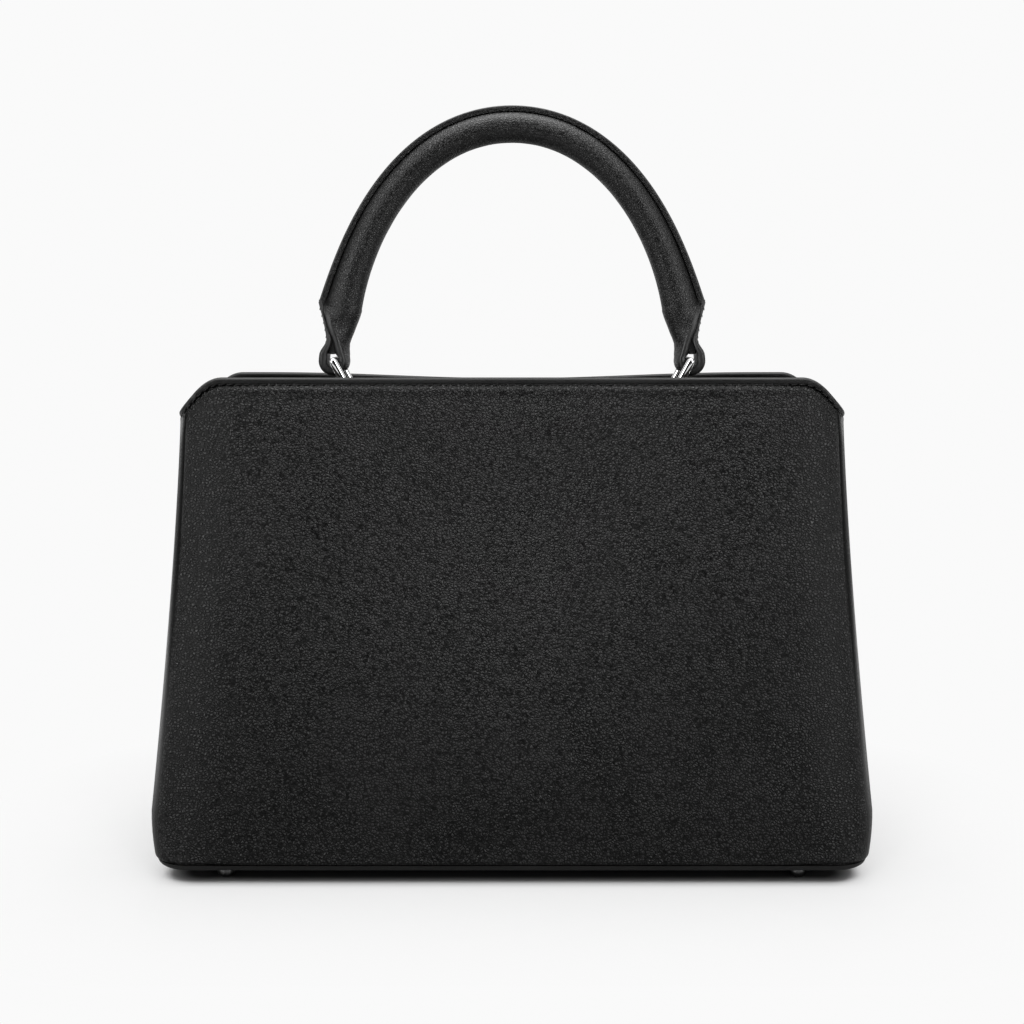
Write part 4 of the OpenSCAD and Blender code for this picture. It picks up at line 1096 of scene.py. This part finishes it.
def buildHandle():
    stations = [-1 + 2 * k / (handle["stations"] * 2) for k in range(handle["stations"] * 2 + 1)]
    rings = []
    for s in stations:
        section = coverSection(s)
        lumps = [1 + handle["lumps"] * noise.noise(Vector((s * 16, math.atan2(y, o) * 1.3, 2.5))) * (1 - s * s)
                 if k > 29 else 1 for k, (o, y) in enumerate(section)]
        rings.append(gripRing(s, [(o * f, y * f) for (o, y), f in zip(section, lumps)]))
    cover = sweep(rings, [handleLeather, edgePaint], edgeMark)
    paths = []
    for y in (-1, 1):
        path = []
        for s in stations[1:-1]:
            o = handle["crease"] + abs(s) ** handle["endPower"] * handle["endCrease"] + handle["threadIn"]
            path.append((gripRing(s, [(o, y * handle["threadSide"])])[0], Vector((0, y, 0))))
        paths.append(path)
    makePiece("handleCover", [cover], "handle", ["handle_cover"], "outer_leather")
    makePiece("handleStitches", [stitchesAlong(paths, Slant=0.1)], "handle", slot="tape")
    rope = []
    for k in range(241):
        s = mix(-0.995, 0.995, k / 240)
        section = []
        for j in range(24):
            a = 2 * math.pi * j / 24
            r = handle["rope"] * (0.90 + 0.09 * abs(math.cos(1.5 * (a - k * 0.13))))
            section.append((r * math.cos(a), r * math.sin(a)))
        rope.append(gripRing(s, section))
    makePiece("handleRope", [sweep(rope, [ropeFibre])], "handle", ["handle_rope"], "rope")


buildHandle()
print("handle is rolled")


# The roll's leather opens downwards from a tube to a flat strap. Each row, in mm: its fold (x, z), its cut edge
# (x, z, half width), its thickness, how round it is from 1 for a tube to 0 for a flat one, and its edge as seen
strapOpening = [
    (71.7, 258.2, 87.6, 262.6, 1.2, 1.2, 1.0, 0.3), (71.25, 256.6, 88.5, 260.0, 1.7, 1.5, 1.0, 0.9),
    (71.6, 255.4, 88.1, 258.9, 2.9, 1.7, 0.96, 1.2), (72.1, 253.9, 87.4, 257.0, 4.4, 1.9, 0.88, 1.5),
    (72.7, 252.3, 86.6, 255.0, 5.7, 2.1, 0.76, 1.9), (73.5, 250.4, 85.6, 252.4, 6.7, 2.4, 0.60, 2.0),
    (74.4, 248.2, 84.6, 249.8, 7.4, 2.8, 0.42, 2.4), (75.3, 245.9, 83.4, 247.0, 7.9, 3.2, 0.25, 2.7),
    (76.3, 243.7, 82.2, 244.3, 8.1, 3.6, 0.12, 2.8), (77.2, 241.2, 81.1, 241.4, 8.1, 3.9, 0.04, 3.1),
    (77.4, 238.6, 80.1, 238.6, 8.1, 4.2, 0.0, 3.7), (77.3, 236.3, 79.4, 236.3, 8.1, 4.2, 0.0, 3.8),
    (77.4, 234.8, 78.8, 234.8, 8.1, 3.8, 0.0, 3.3)]
# The same strap's way back up to the flange's tip: height, outer side, inner side, half width
strapReturn = [
    (234.6, 91.25, 87.6, 8.1), (235.8, 91.1, 87.45, 8.1), (236.9, 90.9, 87.2, 8.1), (238.2, 90.35, 86.7, 8.0),
    (239.9, 89.2, 85.95, 7.8), (241.6, 88.1, 85.5, 7.5), (243.2, 87.7, 85.25, 7.0), (244.8, 87.85, 85.5, 6.4),
    (248.1, 88.5, 86.65, 5.1), (251.3, 89.2, 87.5, 4.1), (254.7, 90.1, 88.5, 3.1), (258.1, 91.1, 89.3, 2.1),
    (260.3, 91.65, 89.7, 1.5), (262.0, 91.6, 89.8, 1.1)]
strap = {"eyeX": 84.25 * mm, "outer": (6.85 * mm, 7.1 * mm), "thick": (3.4 * mm, 3.7 * mm), "cup": 1.1 * mm,
         "half": 8.1 * mm, "across": 28, "bead": 0.35, "threadIn": 1.2 * mm,
         "thread": {"Pitch": 3.2 * mm, "Length": 2.6 * mm, "Height": 0.35 * mm},
         # outline in X and Z, in mm, of the filler between the strap's two layers, and its half width
         "filler": ((83.2, 236.5), (84.2, 236.3), (85.5, 236.3), (87.2, 236.6), (86.6, 238.6), (85.8, 241.0),
                    (85.3, 243.6), (84.7, 243.6), (83.7, 241.0), (83.2, 238.6)),
         "fillerHalf": 5.6, "fillerEdge": 0.3}


def strapRing(outerSide, innerSide, wayA, wayB):
    # closed outline of a strip: its outer side, a rounded cut edge, its inner side and the other cut edge
    def bead(a, b, way):
        centre, arm = (a + b) / 2, (a - b) / 2
        return [centre + arm * math.cos(t) + way * arm.length * 2 * strap["bead"] * math.sin(t)
                for t in (math.pi * k / 6 for k in range(1, 6))]
    return outerSide + bead(outerSide[-1], innerSide[-1], wayB) + innerSide[::-1] \
        + bead(innerSide[0], outerSide[0], wayA)


def openingRow(apexX, apexZ, tipX, tipZ, half, thick, roundness, edge):
    n = strap["across"] // 2
    dx = tipX - apexX
    p1 = Vector((apexX, mix(half / 3, 8.3, roundness)))
    p2 = Vector((apexX + dx * mix(1 / 3, 0.60, roundness), mix(half * 2 / 3, 9.5, roundness)))
    p0, p3 = Vector((apexX, 0)), Vector((tipX, half))
    outerHalf, innerHalf = [], []
    for k in range(n + 1):
        t = k / n
        u = 1 - t
        p = p0 * u ** 3 + p1 * 3 * u * u * t + p2 * 3 * u * t * t + p3 * t ** 3
        d = ((p1 - p0) * u * u + (p2 - p1) * 2 * u * t + (p3 - p2) * t * t).normalized()
        inward = Vector((d.y, -d.x))
        cut = Vector((tipX + edge, max(half - math.sqrt(max(thick ** 2 - edge ** 2, 0.1)), 0.02)))
        q = (p + inward * thick).lerp(cut, smooth((t - 0.72) / 0.28))
        slope = (tipZ - apexZ) / max(dx, 1.0)
        outerHalf.append((p.x, p.y, apexZ + slope * (p.x - apexX)))
        innerHalf.append((q.x, max(q.y, 0.0), apexZ + slope * (q.x - apexX)))
        last = d
    outerSide = [(x, -y, z) for x, y, z in reversed(outerHalf)] + outerHalf[1:]
    innerSide = [(x, -y, z) for x, y, z in reversed(innerHalf)] + innerHalf[1:]
    toVector = [Vector(p) * mm for p in outerSide], [Vector(p) * mm for p in innerSide]
    return strapRing(*toVector, Vector((last.x, -last.y, 0)), Vector((last.x, last.y, 0)))


def flatRow(outerPoint, innerPoint, half, cupped=Vector((0, 0, 0))):
    # cupped: how far the two cut edges lie from the middle
    shares = [-1 + 2 * k / strap["across"] for k in range(strap["across"] + 1)]
    shifts = [Vector((0, u * half, 0)) + cupped * abs(u) ** 3 for u in shares]
    return strapRing([outerPoint + v for v in shifts], [innerPoint + v for v in shifts],
                     Vector((0, -1, 0)), Vector((0, 1, 0)))


def buildStrap(sideName):
    sign = 1 if sideName == "right" else -1
    rings = [openingRow(*row) for row in strapOpening]
    eye = Vector((strap["eyeX"], 0, ring["topZ"]))
    for k in range(25):
        a = math.radians(mix(180, 360, k / 24))
        out = Vector((math.cos(a), 0, math.sin(a)))
        t, far = mix(*strap["thick"], k / 24), mix(*strap["outer"], k / 24)
        cupped = Vector((strap["cup"] * (1 - smooth(k / 16)), 0, 0))
        rings.append(flatRow(eye + out * far, eye + out * (far - t), strap["half"], cupped))
    for z, outerX, innerX, half in strapReturn:
        rings.append(flatRow(Vector((outerX, 0, z)) * mm, Vector((innerX, 0, z)) * mm, half * mm))
    rings = [[Vector((sign * p.x, p.y, p.z)) for p in loop] for loop in rings]
    n = strap["across"]
    filler, half, edge = [], strap["fillerHalf"], strap["fillerEdge"]
    for y, inset in ((-half, edge), (edge - half, 0), (half - edge, 0), (half, edge)):
        filler.append([Vector((sign * (x + math.copysign(inset, 85 - x)) * mm, y * mm, (z + inset) * mm))
                       for x, z in strap["filler"]])

    def mark(j):
        return 0 if j < n else 1 if j < n + 6 else 2 if j < 2 * n + 6 else 1

    threads = []
    for y in (-1, 1):
        path = []
        for z, outerX, innerX, half in strapReturn[5:-2]:
            path.append((Vector((sign * (outerX + 0.05) * mm, y * (half * mm - strap["threadIn"]), z * mm)),
                         Vector((sign, 0, 0.15)).normalized()))
        threads.append(path)
    makePiece(sideName + "Strap", [sweep(rings, [handleLeather, edgePaint, smoothLeather], mark),
                                   sweep(filler, [smoothLeather]),
                                   stitchesAlong(threads, **strap["thread"])],
              "handle", ["handle_strap_" + sideName], "outer_leather", sharp=50)


for strapSide in ("left", "right"):
    buildStrap(strapSide)
print("straps and rings are set")


# Tabs that hold the rings
tab = {"eye": 2.9 * mm, "thick": 2.2 * mm, "width": 18 * mm, "length": 36 * mm, "rise": 14 * mm, "tip": 6 * mm,
       "threadIn": 2 * mm, "thread": {"Pitch": 3.0 * mm, "Length": 2.4 * mm},
       "tongueRows": (4, 8, 12, 16, 18.5, 20, 20.9, 21.5, 21.85, 22)}


def buildTab(sideName):
    sign = 1 if sideName == "right" else -1
    reach = tab["eye"] + tab["thick"] / 2
    rows = []
    length, half = tab["length"], tab["width"] / 2

    def tongue(d):      # half width of the rounded end, d from its tip
        r = tab["tip"]
        return half if d > r else half - r + math.sqrt(max(0.0, r * r - (r - d) ** 2))

    low = -reach
    for k in range(12, 0, -1):
        d = length * k / 12
        rows.append((Vector((d, 0, low)), Vector((0, 0, -1)), half))
    for k in range(25):
        a = math.radians(mix(270, 90, k / 24))
        rows.append((Vector((reach * math.cos(a), 0, reach * math.sin(a))),
                     Vector((math.cos(a), 0, math.sin(a))), half))
    top = -tab["eye"] + tab["thick"] / 2 + 0.02 * mm
    for k in range(1, 15):
        v = k / 14
        rows.append((Vector((tab["rise"] * v, 0, mix(reach, top, smooth(v)))),
                     Vector((0, 0, 1)), half))
    for d in tab["tongueRows"]:
        x = tab["rise"] + d * mm
        rows.append((Vector((x, 0, top)), Vector((0, 0, 1)), tongue(length - x)))
    outer, inner = [], []
    for i, (p, out, h) in enumerate(rows):
        before, after = rows[max(0, i - 1)][0], rows[min(len(rows) - 1, i + 1)][0]
        along = (after - before).normalized()
        way = Vector((along.z, 0, -along.x))
        if way.dot(out) < 0:
            way = -way
        h = max(h, 1 * mm)
        outerRow, innerRow = [], []
        for k in range(15):
            y = mix(-h, h, k / 14)
            pinch = 1 - 0.4 * bell(min(k, 14 - k), 0.6)
            here = Vector((sign * (ringLow.x + p.x), y, ringLow.z + p.z))
            w = Vector((sign * way.x, 0, way.z))
            outerRow.append(here + w * tab["thick"] / 2 * pinch)
            innerRow.append(here - w * tab["thick"] / 2 * pinch)
        outer.append(outerRow)
        inner.append(innerRow)
    surface = ringLow.z + top + tab["thick"] / 2
    r = tab["tip"] - tab["threadIn"]
    path = [(tab["rise"] + 1 * mm, half - tab["threadIn"])]
    path += [(length - tab["tip"] + r * math.sin(a), half - tab["tip"] + r * math.cos(a))
             for a in (0, 0.4, 0.8, 1.2, math.pi / 2)]
    path += [(x, -y) for x, y in reversed(path)]
    threads = [(Vector((sign * (ringLow.x + x), y, surface + 0.08 * mm)), Vector((0, 0, 1))) for x, y in path]
    obj = makePiece(sideName + "Tab", [shell(outer, inner, [smoothLeather, edgePaint, smoothLeather], 1, 2),
                                       stitchesAlong([threads], **tab["thread"])],
                    None, ["handle_tab_" + sideName], "smooth_leather")
    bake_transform(obj)


for tabSide in ("left", "right"):
    buildTab(tabSide)


# Rivets: Geometry Nodes on points
rivet = {"head": 3.4 * mm, "dome": 1.0 * mm, "shank": 1.5 * mm, "topZ": 216.65 * mm, "lowZ": 206.9 * mm,
         "xs": (95.8 * mm, 106.8 * mm)}


def scatterTree(name):
    # copies one object on every point of a mesh
    tree, given, out = newGroup(name, "GeometryNodeTree", [
        ("Geometry", "NodeSocketGeometry", None), ("Piece", "NodeSocketObject", None),
        ("Turn", "NodeSocketFloat", 0.0), ("Finish", "NodeSocketMaterial", None)],
        [("Geometry", "NodeSocketGeometry")])
    points = addNode(tree, "GeometryNodeMeshToPoints", {"Mesh": given["Geometry"]})
    source = addNode(tree, "GeometryNodeObjectInfo", {"Object": given["Piece"]})
    flip = addNode(tree, "GeometryNodeInputNamedAttribute", {"Name": "flip"}, data_type="FLOAT")
    angle = sums(tree, "MULTIPLY_ADD", flip.outputs[0], math.pi, given["Turn"])
    turn = addNode(tree, "FunctionNodeEulerToRotation",
                   {0: addNode(tree, "ShaderNodeCombineXYZ", {"Z": angle}).outputs[0]})
    copies = addNode(tree, "GeometryNodeInstanceOnPoints", {
        "Points": points.outputs[0], "Instance": source.outputs["Geometry"], "Rotation": turn.outputs[0]})
    real = addNode(tree, "GeometryNodeRealizeInstances", {0: copies.outputs[0]})
    done = addNode(tree, "GeometryNodeSetMaterial", {"Geometry": real.outputs[0], "Material": given["Finish"]})
    tree.links.new(done.outputs[0], out["Geometry"])
    return tree


pieceOnPoints = scatterTree("pieceOnPoints")


def copiesOf(part, places, material, flips=None):
    # one mesh with a copy of the part at each place, as a part of makePiece
    points, faces = part[0], part[1]
    sourceMesh = bpy.data.meshes.new("copied")
    sourceMesh.from_pydata([tuple(p) for p in points], [], faces)
    source = bpy.data.objects.new("copied", sourceMesh)
    mesh = bpy.data.meshes.new("places")
    mesh.from_pydata([tuple(p) for p in places], [], [])
    mesh.attributes.new("flip", "FLOAT", "POINT").data.foreach_set("value", flips or [0.0] * len(places))
    holder = bpy.data.objects.new("places", mesh)
    for o in (source, holder):
        scene.collection.objects.link(o)
    result = runTree(holder, pieceOnPoints, {"Piece": source, "Turn": 0.0, "Finish": material})
    made = ([v.co.copy() for v in result.vertices], [tuple(p.vertices) for p in result.polygons], [material], None)
    for o in (source, holder):
        bpy.data.objects.remove(o)
    return made


def buildRivets():
    r, d = rivet["head"], rivet["dome"]
    height = rivet["topZ"] - rivet["lowZ"]
    profile = [(0.00001, 0), (r, 0.0), (r, 0.8 * mm), (rivet["shank"], 0.9 * mm),
               (rivet["shank"], height - 0.3 * mm), (r * 0.98, height - 0.3 * mm), (r, height)]
    profile += [(r * u, height + d * v) for u, v in ((0.93, 0.45), (0.7, 0.85), (0.4, 1.02))]
    profile.append((0.00001, height + d * 1.06))
    places = [(sx * x, 0, rivet["lowZ"]) for sx in (-1, 1) for x in rivet["xs"]]
    part = lathe(profile, (0, 0, 0), polishedSteel, steps=32)
    makePiece("tabRivets", [copiesOf(part, places, polishedSteel)], "carcass", ["tab_rivets"], "polished_steel")


buildRivets()


# Magnetic snaps, made after the zip
snap = {"radius": 7 * mm, "z": 200 * mm, "thick": 2.2 * mm, "gap": 0.2 * mm, "lip": 0.5 * mm, "rim": 2.2 * mm,
        "dishIn": 2.6 * mm, "dish": 0.8 * mm}


def buildSnaps():
    r, t = snap["radius"], snap["thick"]
    face = pouch["half"] + snap["gap"]
    lip, dish = snap["lip"], snap["dish"]
    socket = [(0.00001, 0), (r, 0), (r, t - lip), (r - lip, t), (r - snap["rim"], t),
              (r - snap["dishIn"], t - dish), (0.00001, t - dish)]
    parts = [lathe([(a, s * (face + b)) for a, b in socket], (0, 0, snap["z"]), polishedSteel, "Y") for s in (-1, 1)]
    makePiece("snapSockets", parts, "carcass", ["snap_sockets"], "polished_steel")
    start = face + t + snap["gap"]
    for name, s in (("front", -1), ("back", 1)):
        low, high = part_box(name + "_snap")
        deep = abs(low.y if s < 0 else high.y) - start
        stud = [(0.00001, 0), (r - 2.8 * mm, 0), (r - snap["dishIn"], 0.02 * mm), (r - 0.6 * mm, 0.02 * mm),
                (r, lip), (r, deep), (0.00001, deep)]
        part = lathe([(a, s * (start + b)) for a, b in stud], (0, 0, snap["z"]), polishedSteel, "Y")
        makePiece(name + "SnapStud", [part], name + "_wall", [name + "_snap"], "polished_steel")


# Centre pouch
pouch = {"half": 13 * mm, "skin": 1.0 * mm, "board": 1.2 * mm, "strip": 1.2 * mm, "top": 1.6 * mm,
         "topZ": 212.007 * mm, "faceZ": 210.207 * mm, "lowZ": 14.0 * mm, "slotX": 67.5 * mm, "slotY": 4.7 * mm,
         "corner": 2 * mm, "edgeRadius": 0.5 * mm, "puff": 0.6 * mm, "snapFlat": 14 * mm,
         "thread": {"Pitch": 3.2 * mm, "Length": 2.5 * mm},
         # grooves of the two seams in mm: distance from the edge, and depth
         "outerGroove": ((2.4, 0), (3.1, 0.14), (3.8, 0)), "slotGroove": ((3.0, 0), (2.3, 0.14), (1.6, 0))}


def pouchX(z):
    return halfWidth(z) - pleatIn(z) - gusset["thick"] - 0.3 * mm - pouch["strip"]


def buildPouch():
    topX = pouchX(pouch["faceZ"])
    for name, y0 in (("front", -1), ("back", 1)):
        def grid(depth, soft):
            rows = []
            for i in range(37):
                z = mix(pouch["lowZ"], pouch["faceZ"], i / 36)
                row = []
                for k in range(61):
                    u = -1 + 2 * k / 60
                    x = u * pouchX(z)
                    fade = smooth((1 - abs(u)) / 0.08) * smooth(i / 3) * smooth((36 - i) / 3)
                    away = bell(math.hypot(x, z - snap["z"]), pouch["snapFlat"])        # flat under the snap
                    lumps = 0.6 + noise.noise(Vector((x * 16, y0 * 3, z * 18)))
                    puffed = soft * fade * (1 - away) * pouch["puff"] * lumps
                    row.append(Vector((x, y0 * (pouch["half"] - depth + puffed), z)))
                rows.append(row)
            return rows
        makePiece("pouch" + name.capitalize(), [shell(grid(0, 1), grid(pouch["skin"], 0), [liningCloth])], "carcass",
                  ["pouch_" + name], "lining")
    y = pouch["half"] - pouch["skin"] - pouch["board"] - 0.4 * mm
    outline = [(pouchX(mix(pouch["lowZ"], pouch["faceZ"], k / 24)), mix(pouch["lowZ"], pouch["faceZ"], k / 24))
               for k in range(25)]
    path = [(x, z) for x, z in reversed(outline)] + [(mix(outline[0][0], -outline[0][0], k / 40), outline[0][1])
                                                     for k in range(1, 40)] + [(-x, z) for x, z in outline]
    outer, inner = [], []
    for x, z in path:
        inX = x - math.copysign(pouch["strip"], x) if abs(x) > pouch["strip"] else x
        inZ = max(z, pouch["lowZ"] + pouch["strip"])
        outer.append([Vector((x, mix(-y, y, k / 8), z)) for k in range(9)])
        inner.append([Vector((inX, mix(-y, y, k / 8), inZ)) for k in range(9)])
    makePiece("pouchStrip", [shell(outer, inner, [liningCloth])], "carcass", ["pouch_strip"], "lining")
    # leather top with its slot, all edges rounded
    outerLoop = roundedLoop(topX, pouch["half"], pouch["corner"], 30, 6)
    innerLoop = roundedLoop(pouch["slotX"], pouch["slotY"], pouch["corner"], 30, 6)
    low, top, r = pouch["topZ"] - pouch["top"], pouch["topZ"], pouch["edgeRadius"]
    edge = [(r, low), (0, low + r), (0, top - r), (r, top)]
    outside = edge + [(d * mm, top - drop * mm) for d, drop in pouch["outerGroove"]]
    inside = [(d * mm, top - drop * mm) for d, drop in pouch["slotGroove"]] + edge[::-1]
    rings = []
    for (ox, oy), (ix, iy) in zip(outerLoop, innerLoop):
        span = Vector((ox - ix, oy - iy)).length
        shares = [(1 - min(0.5, d / span), z) for d, z in outside] + [(min(0.5, d / span), z) for d, z in inside]
        rings.append([Vector((mix(ix, ox, u), mix(iy, oy, u), z)) for u, z in shares])
    threads = []
    for inset in (-pouch["outerGroove"][1][0] * mm, pouch["slotGroove"][1][0] * mm):
        path = []
        for (ox, oy), (ix, iy) in zip(outerLoop, innerLoop):
            span = math.hypot(ox - ix, oy - iy)
            u = (1 + inset / span) if inset < 0 else inset / span
            path.append((Vector((mix(ix, ox, u), mix(iy, oy, u), top + 0.02 * mm)), Vector((0, 0, 1))))
        threads.append(path + [path[0]])
    makePiece("pouchTop", [sweep(rings, [smoothLeather], closed=True),
                           stitchesAlong(threads, **pouch["thread"])],
              "carcass", ["pouch_top"], "smooth_leather")


buildPouch()
print("pouch is sewn")


# Zip
zipper = {"halfLength": 62 * mm, "z": 209.857 * mm, "tapeThick": 0.5 * mm, "tapeIn": 1.85 * mm, "pitch": 2.4 * mm,
          "tooth": 1.8 * mm, "firstTooth": 0.54 * mm, "count": 51, "stop": 2.4 * mm,
          "stopSize": (1.15 * mm, 1.8 * mm, 0.9 * mm), "stopCorner": 0.5 * mm,
          # across the tape: distance in mm from its inner edge, and share of its thickness
          "tapeOutline": ((0.0, 0.5), (0.15, 0.9), (0.7, 1.0), (1.3, 0.9), (1.7, 0.5), (3.0, 0.5), (5.5, 0.5),
                          (7.7, 0.5), (8.0, 0.3)),
          # along a tooth, from its clamp to its head: distance and half width in mm, and share of its height
          "toothOutline": ((-1.0, 0.40, 0.5), (-0.9, 0.50, 0.75), (-0.55, 0.52, 0.9), (-0.2, 0.36, 0.8),
                           (0.3, 0.40, 0.8), (0.6, 0.52, 1.0), (1.45, 0.52, 1.0), (1.6, 0.42, 0.8))}


def boxPart(low, high, corner, material, taper=1.0):
    # a block with rounded upright edges and softened top and bottom
    cx, cy = (low[0] + high[0]) / 2, (low[1] + high[1]) / 2
    hx, hy = (high[0] - low[0]) / 2, (high[1] - low[1]) / 2
    b = min(corner * 0.5, (high[2] - low[2]) * 0.3)
    rings = []
    upper = [(0, high[2] - b), (0.3 * b, high[2] - 0.3 * b), (b, high[2])]
    for inset, z in [(b, low[2]), (0.3 * b, low[2] + 0.3 * b), (0, low[2] + b)] + upper:
        loop = roundedLoop(hx - inset, hy - inset, max(corner - inset, 0.05 * mm), 2, 4)
        rings.append([Vector((cx + x, cy + y * mix(1, taper, (x + hx) / (2 * hx)), z)) for x, y in loop])
    return sweep(rings, [material])


def buildZip():
    z, half = zipper["z"], zipper["halfLength"]
    tapes = []
    for side in (-1, 1):
        outer, inner = [], []
        for k in range(61):
            x = mix(-half - zipper["stop"], half + zipper["stop"], k / 60)
            up, down = [], []
            for d, t in zipper["tapeOutline"]:
                y = side * (zipper["tapeIn"] + d * mm)
                up.append(Vector((x, y, z + t * zipper["tapeThick"])))
                down.append(Vector((x, y, z - t * zipper["tapeThick"])))
            outer.append(up)
            inner.append(down)
        tapes.append(shell(outer, inner, [zipCloth]))
    makePiece("zipTapes", tapes, "carcass", ["zip_tapes"], "tape")
    tooth = []
    for y, w, t in zipper["toothOutline"]:
        x, top = w * mm, t * zipper["tooth"] / 2
        c = 0.25 * x        # each corner is cut
        tooth.append([Vector((u, y * mm, v)) for u, v in
                      ((-x, c - top), (-x, top - c), (c - x, top), (x - c, top), (x, top - c), (x, c - top),
                       (x - c, -top), (c - x, -top))])
    places, flips = [], []
    for k in range(zipper["count"]):
        x = -half + zipper["firstTooth"] + k * zipper["pitch"]
        places += [(x, 0, z), (x + zipper["pitch"] / 2, 0, z)]
        flips += [0.0, 1.0]
    makePiece("zipTeeth", [copiesOf(sweep(tooth, [darkSteel]), places, darkSteel, flips)], "carcass", ["zip_teeth"],
              "dark_steel")
    a, b, c = zipper["stopSize"]
    ends = [side * (half + zipper["stop"] / 2) for side in (-1, 1)]
    stops = [boxPart((x - a, -b, z - c), (x + a, b, z + c), zipper["stopCorner"], darkSteel) for x in ends]
    makePiece("zipStops", stops, "carcass", ["zip_stops"], "dark_steel")


buildZip()


slider = {"x": 56.25 * mm, "lowDrop": 2.15 * mm, "topRise": 1.15 * mm, "halfLength": 5.5 * mm,
          "halfWidth": 4.1 * mm, "plate": 1 * mm, "corner": 1.8 * mm, "taper": 0.9, "wedge": (4.55 * mm, 5.45 * mm),
          "wedgeHalf": 0.95 * mm, "wedgeIn": 0.5 * mm, "wedgeCorner": 0.4 * mm, "bridgeHalf": 2.85 * mm,
          "bridgeRise": 2.9 * mm, "bridgeIn": 0.2 * mm, "bridgePower": 0.45,
          # section of the bridge in mm: outwards, and across
          "bridgeSection": ((0.45, -0.6), (0.45, 0.6), (0.15, 0.95), (-0.3, 0.95), (-0.45, 0.6), (-0.45, -0.6),
                            (-0.3, -0.95), (0.15, -0.95))}
# The puller's frame and its window, its plate and the hole at the plate's end: half length, half width, corner
puller = {"rise": 0.95 * mm, "frame": (3.6 * mm, 3.25 * mm, 1.2 * mm), "window": (2.25 * mm, 1.25 * mm, 0.7 * mm),
          "frameX": -2.95 * mm, "plate": (9 * mm, 3.25 * mm, 2.4 * mm), "plateX": -15 * mm, "holeX": -5.6 * mm,
          "hole": 1.6 * mm}


def frameBar(outerLoop, innerLoop, x, z, bevel, half, side):
    # closed bar between two outlines, with bevelled edges; half its thickness and half its side, in mm
    section = [(bevel, -half), (1 - bevel, -half), (1, -side), (1, side), (1 - bevel, half), (bevel, half),
               (0, side), (0, -side)]
    rings = [[Vector((x + mix(ix, ox, u), mix(iy, oy, u), z + w * mm)) for u, w in section]
             for (ox, oy), (ix, iy) in zip(outerLoop, innerLoop)]
    return sweep(rings, [darkSteel], closed=True)


def buildSlider():
    x, low, top = slider["x"], zipper["z"] - slider["lowDrop"], zipper["z"] + slider["topRise"]
    long, wide, plate = slider["halfLength"], slider["halfWidth"], slider["plate"]
    plates = [boxPart((x - long, -wide, z), (x + long, wide, z + plate), slider["corner"], darkSteel, slider["taper"])
              for z in (low, top)]
    near, far = slider["wedge"]
    plates.append(boxPart((x + near, -slider["wedgeHalf"], low + slider["wedgeIn"]),
                          (x + far, slider["wedgeHalf"], top + slider["wedgeIn"]), slider["wedgeCorner"], darkSteel))
    # bridge: a bent bar over the top plate
    rings = []
    for k in range(17):
        a = math.pi * k / 16
        c, s = math.cos(a), math.sin(a)
        cx = slider["bridgeHalf"] * math.copysign(abs(c) ** slider["bridgePower"], c)
        cz = top + plate - slider["bridgeIn"] + slider["bridgeRise"] * abs(s) ** slider["bridgePower"]
        way = Vector((c, 0, s)).normalized()
        rings.append([Vector((x + cx, 0, cz)) + way * (u * mm) + Vector((0, v * mm, 0))
                      for u, v in slider["bridgeSection"]])
    plates.append(sweep(rings, [darkSteel]))
    makePiece("zipSlider", plates, "zip_slider", ["zip_slider"], "dark_steel", sharp=50)
    # puller: an oblong plate with a frame for the bridge and a round hole at its end
    z = top + plate + puller["rise"]
    frameLoops = roundedLoop(*puller["frame"], 3, 6), roundedLoop(*puller["window"], 3, 6)
    outerLoop = roundedLoop(*puller["plate"], 6, 6)
    angles = [math.atan2(oy, (ox - puller["holeX"]) * 0.6) for ox, oy in outerLoop]
    innerLoop = [(puller["holeX"] + puller["hole"] * math.cos(a), puller["hole"] * math.sin(a)) for a in angles]
    parts = [frameBar(*frameLoops, x + puller["frameX"], z, 0.15, 0.7, 0.45),
             frameBar(outerLoop, innerLoop, x + puller["plateX"], z, 0.08, 0.6, 0.35)]
    makePiece("zipPuller", parts, "zip_puller", ["zip_puller"], "dark_steel", sharp=50)


buildSlider()


buildSnaps()


# CAD nodes that stay
kept = {"base_board": boardFinish, "front_board": boardFinish, "back_board": boardFinish,
        "pouch_board_front": boardFinish, "pouch_board_back": boardFinish, "anchor_plates": darkSteel,
        "foot_nuts": darkSteel}
for nodeName, finish in kept.items():
    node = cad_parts[nodeName]
    for slotItem in node.material_slots:
        slotItem.material = finish
print("hardware and kept nodes are finished")
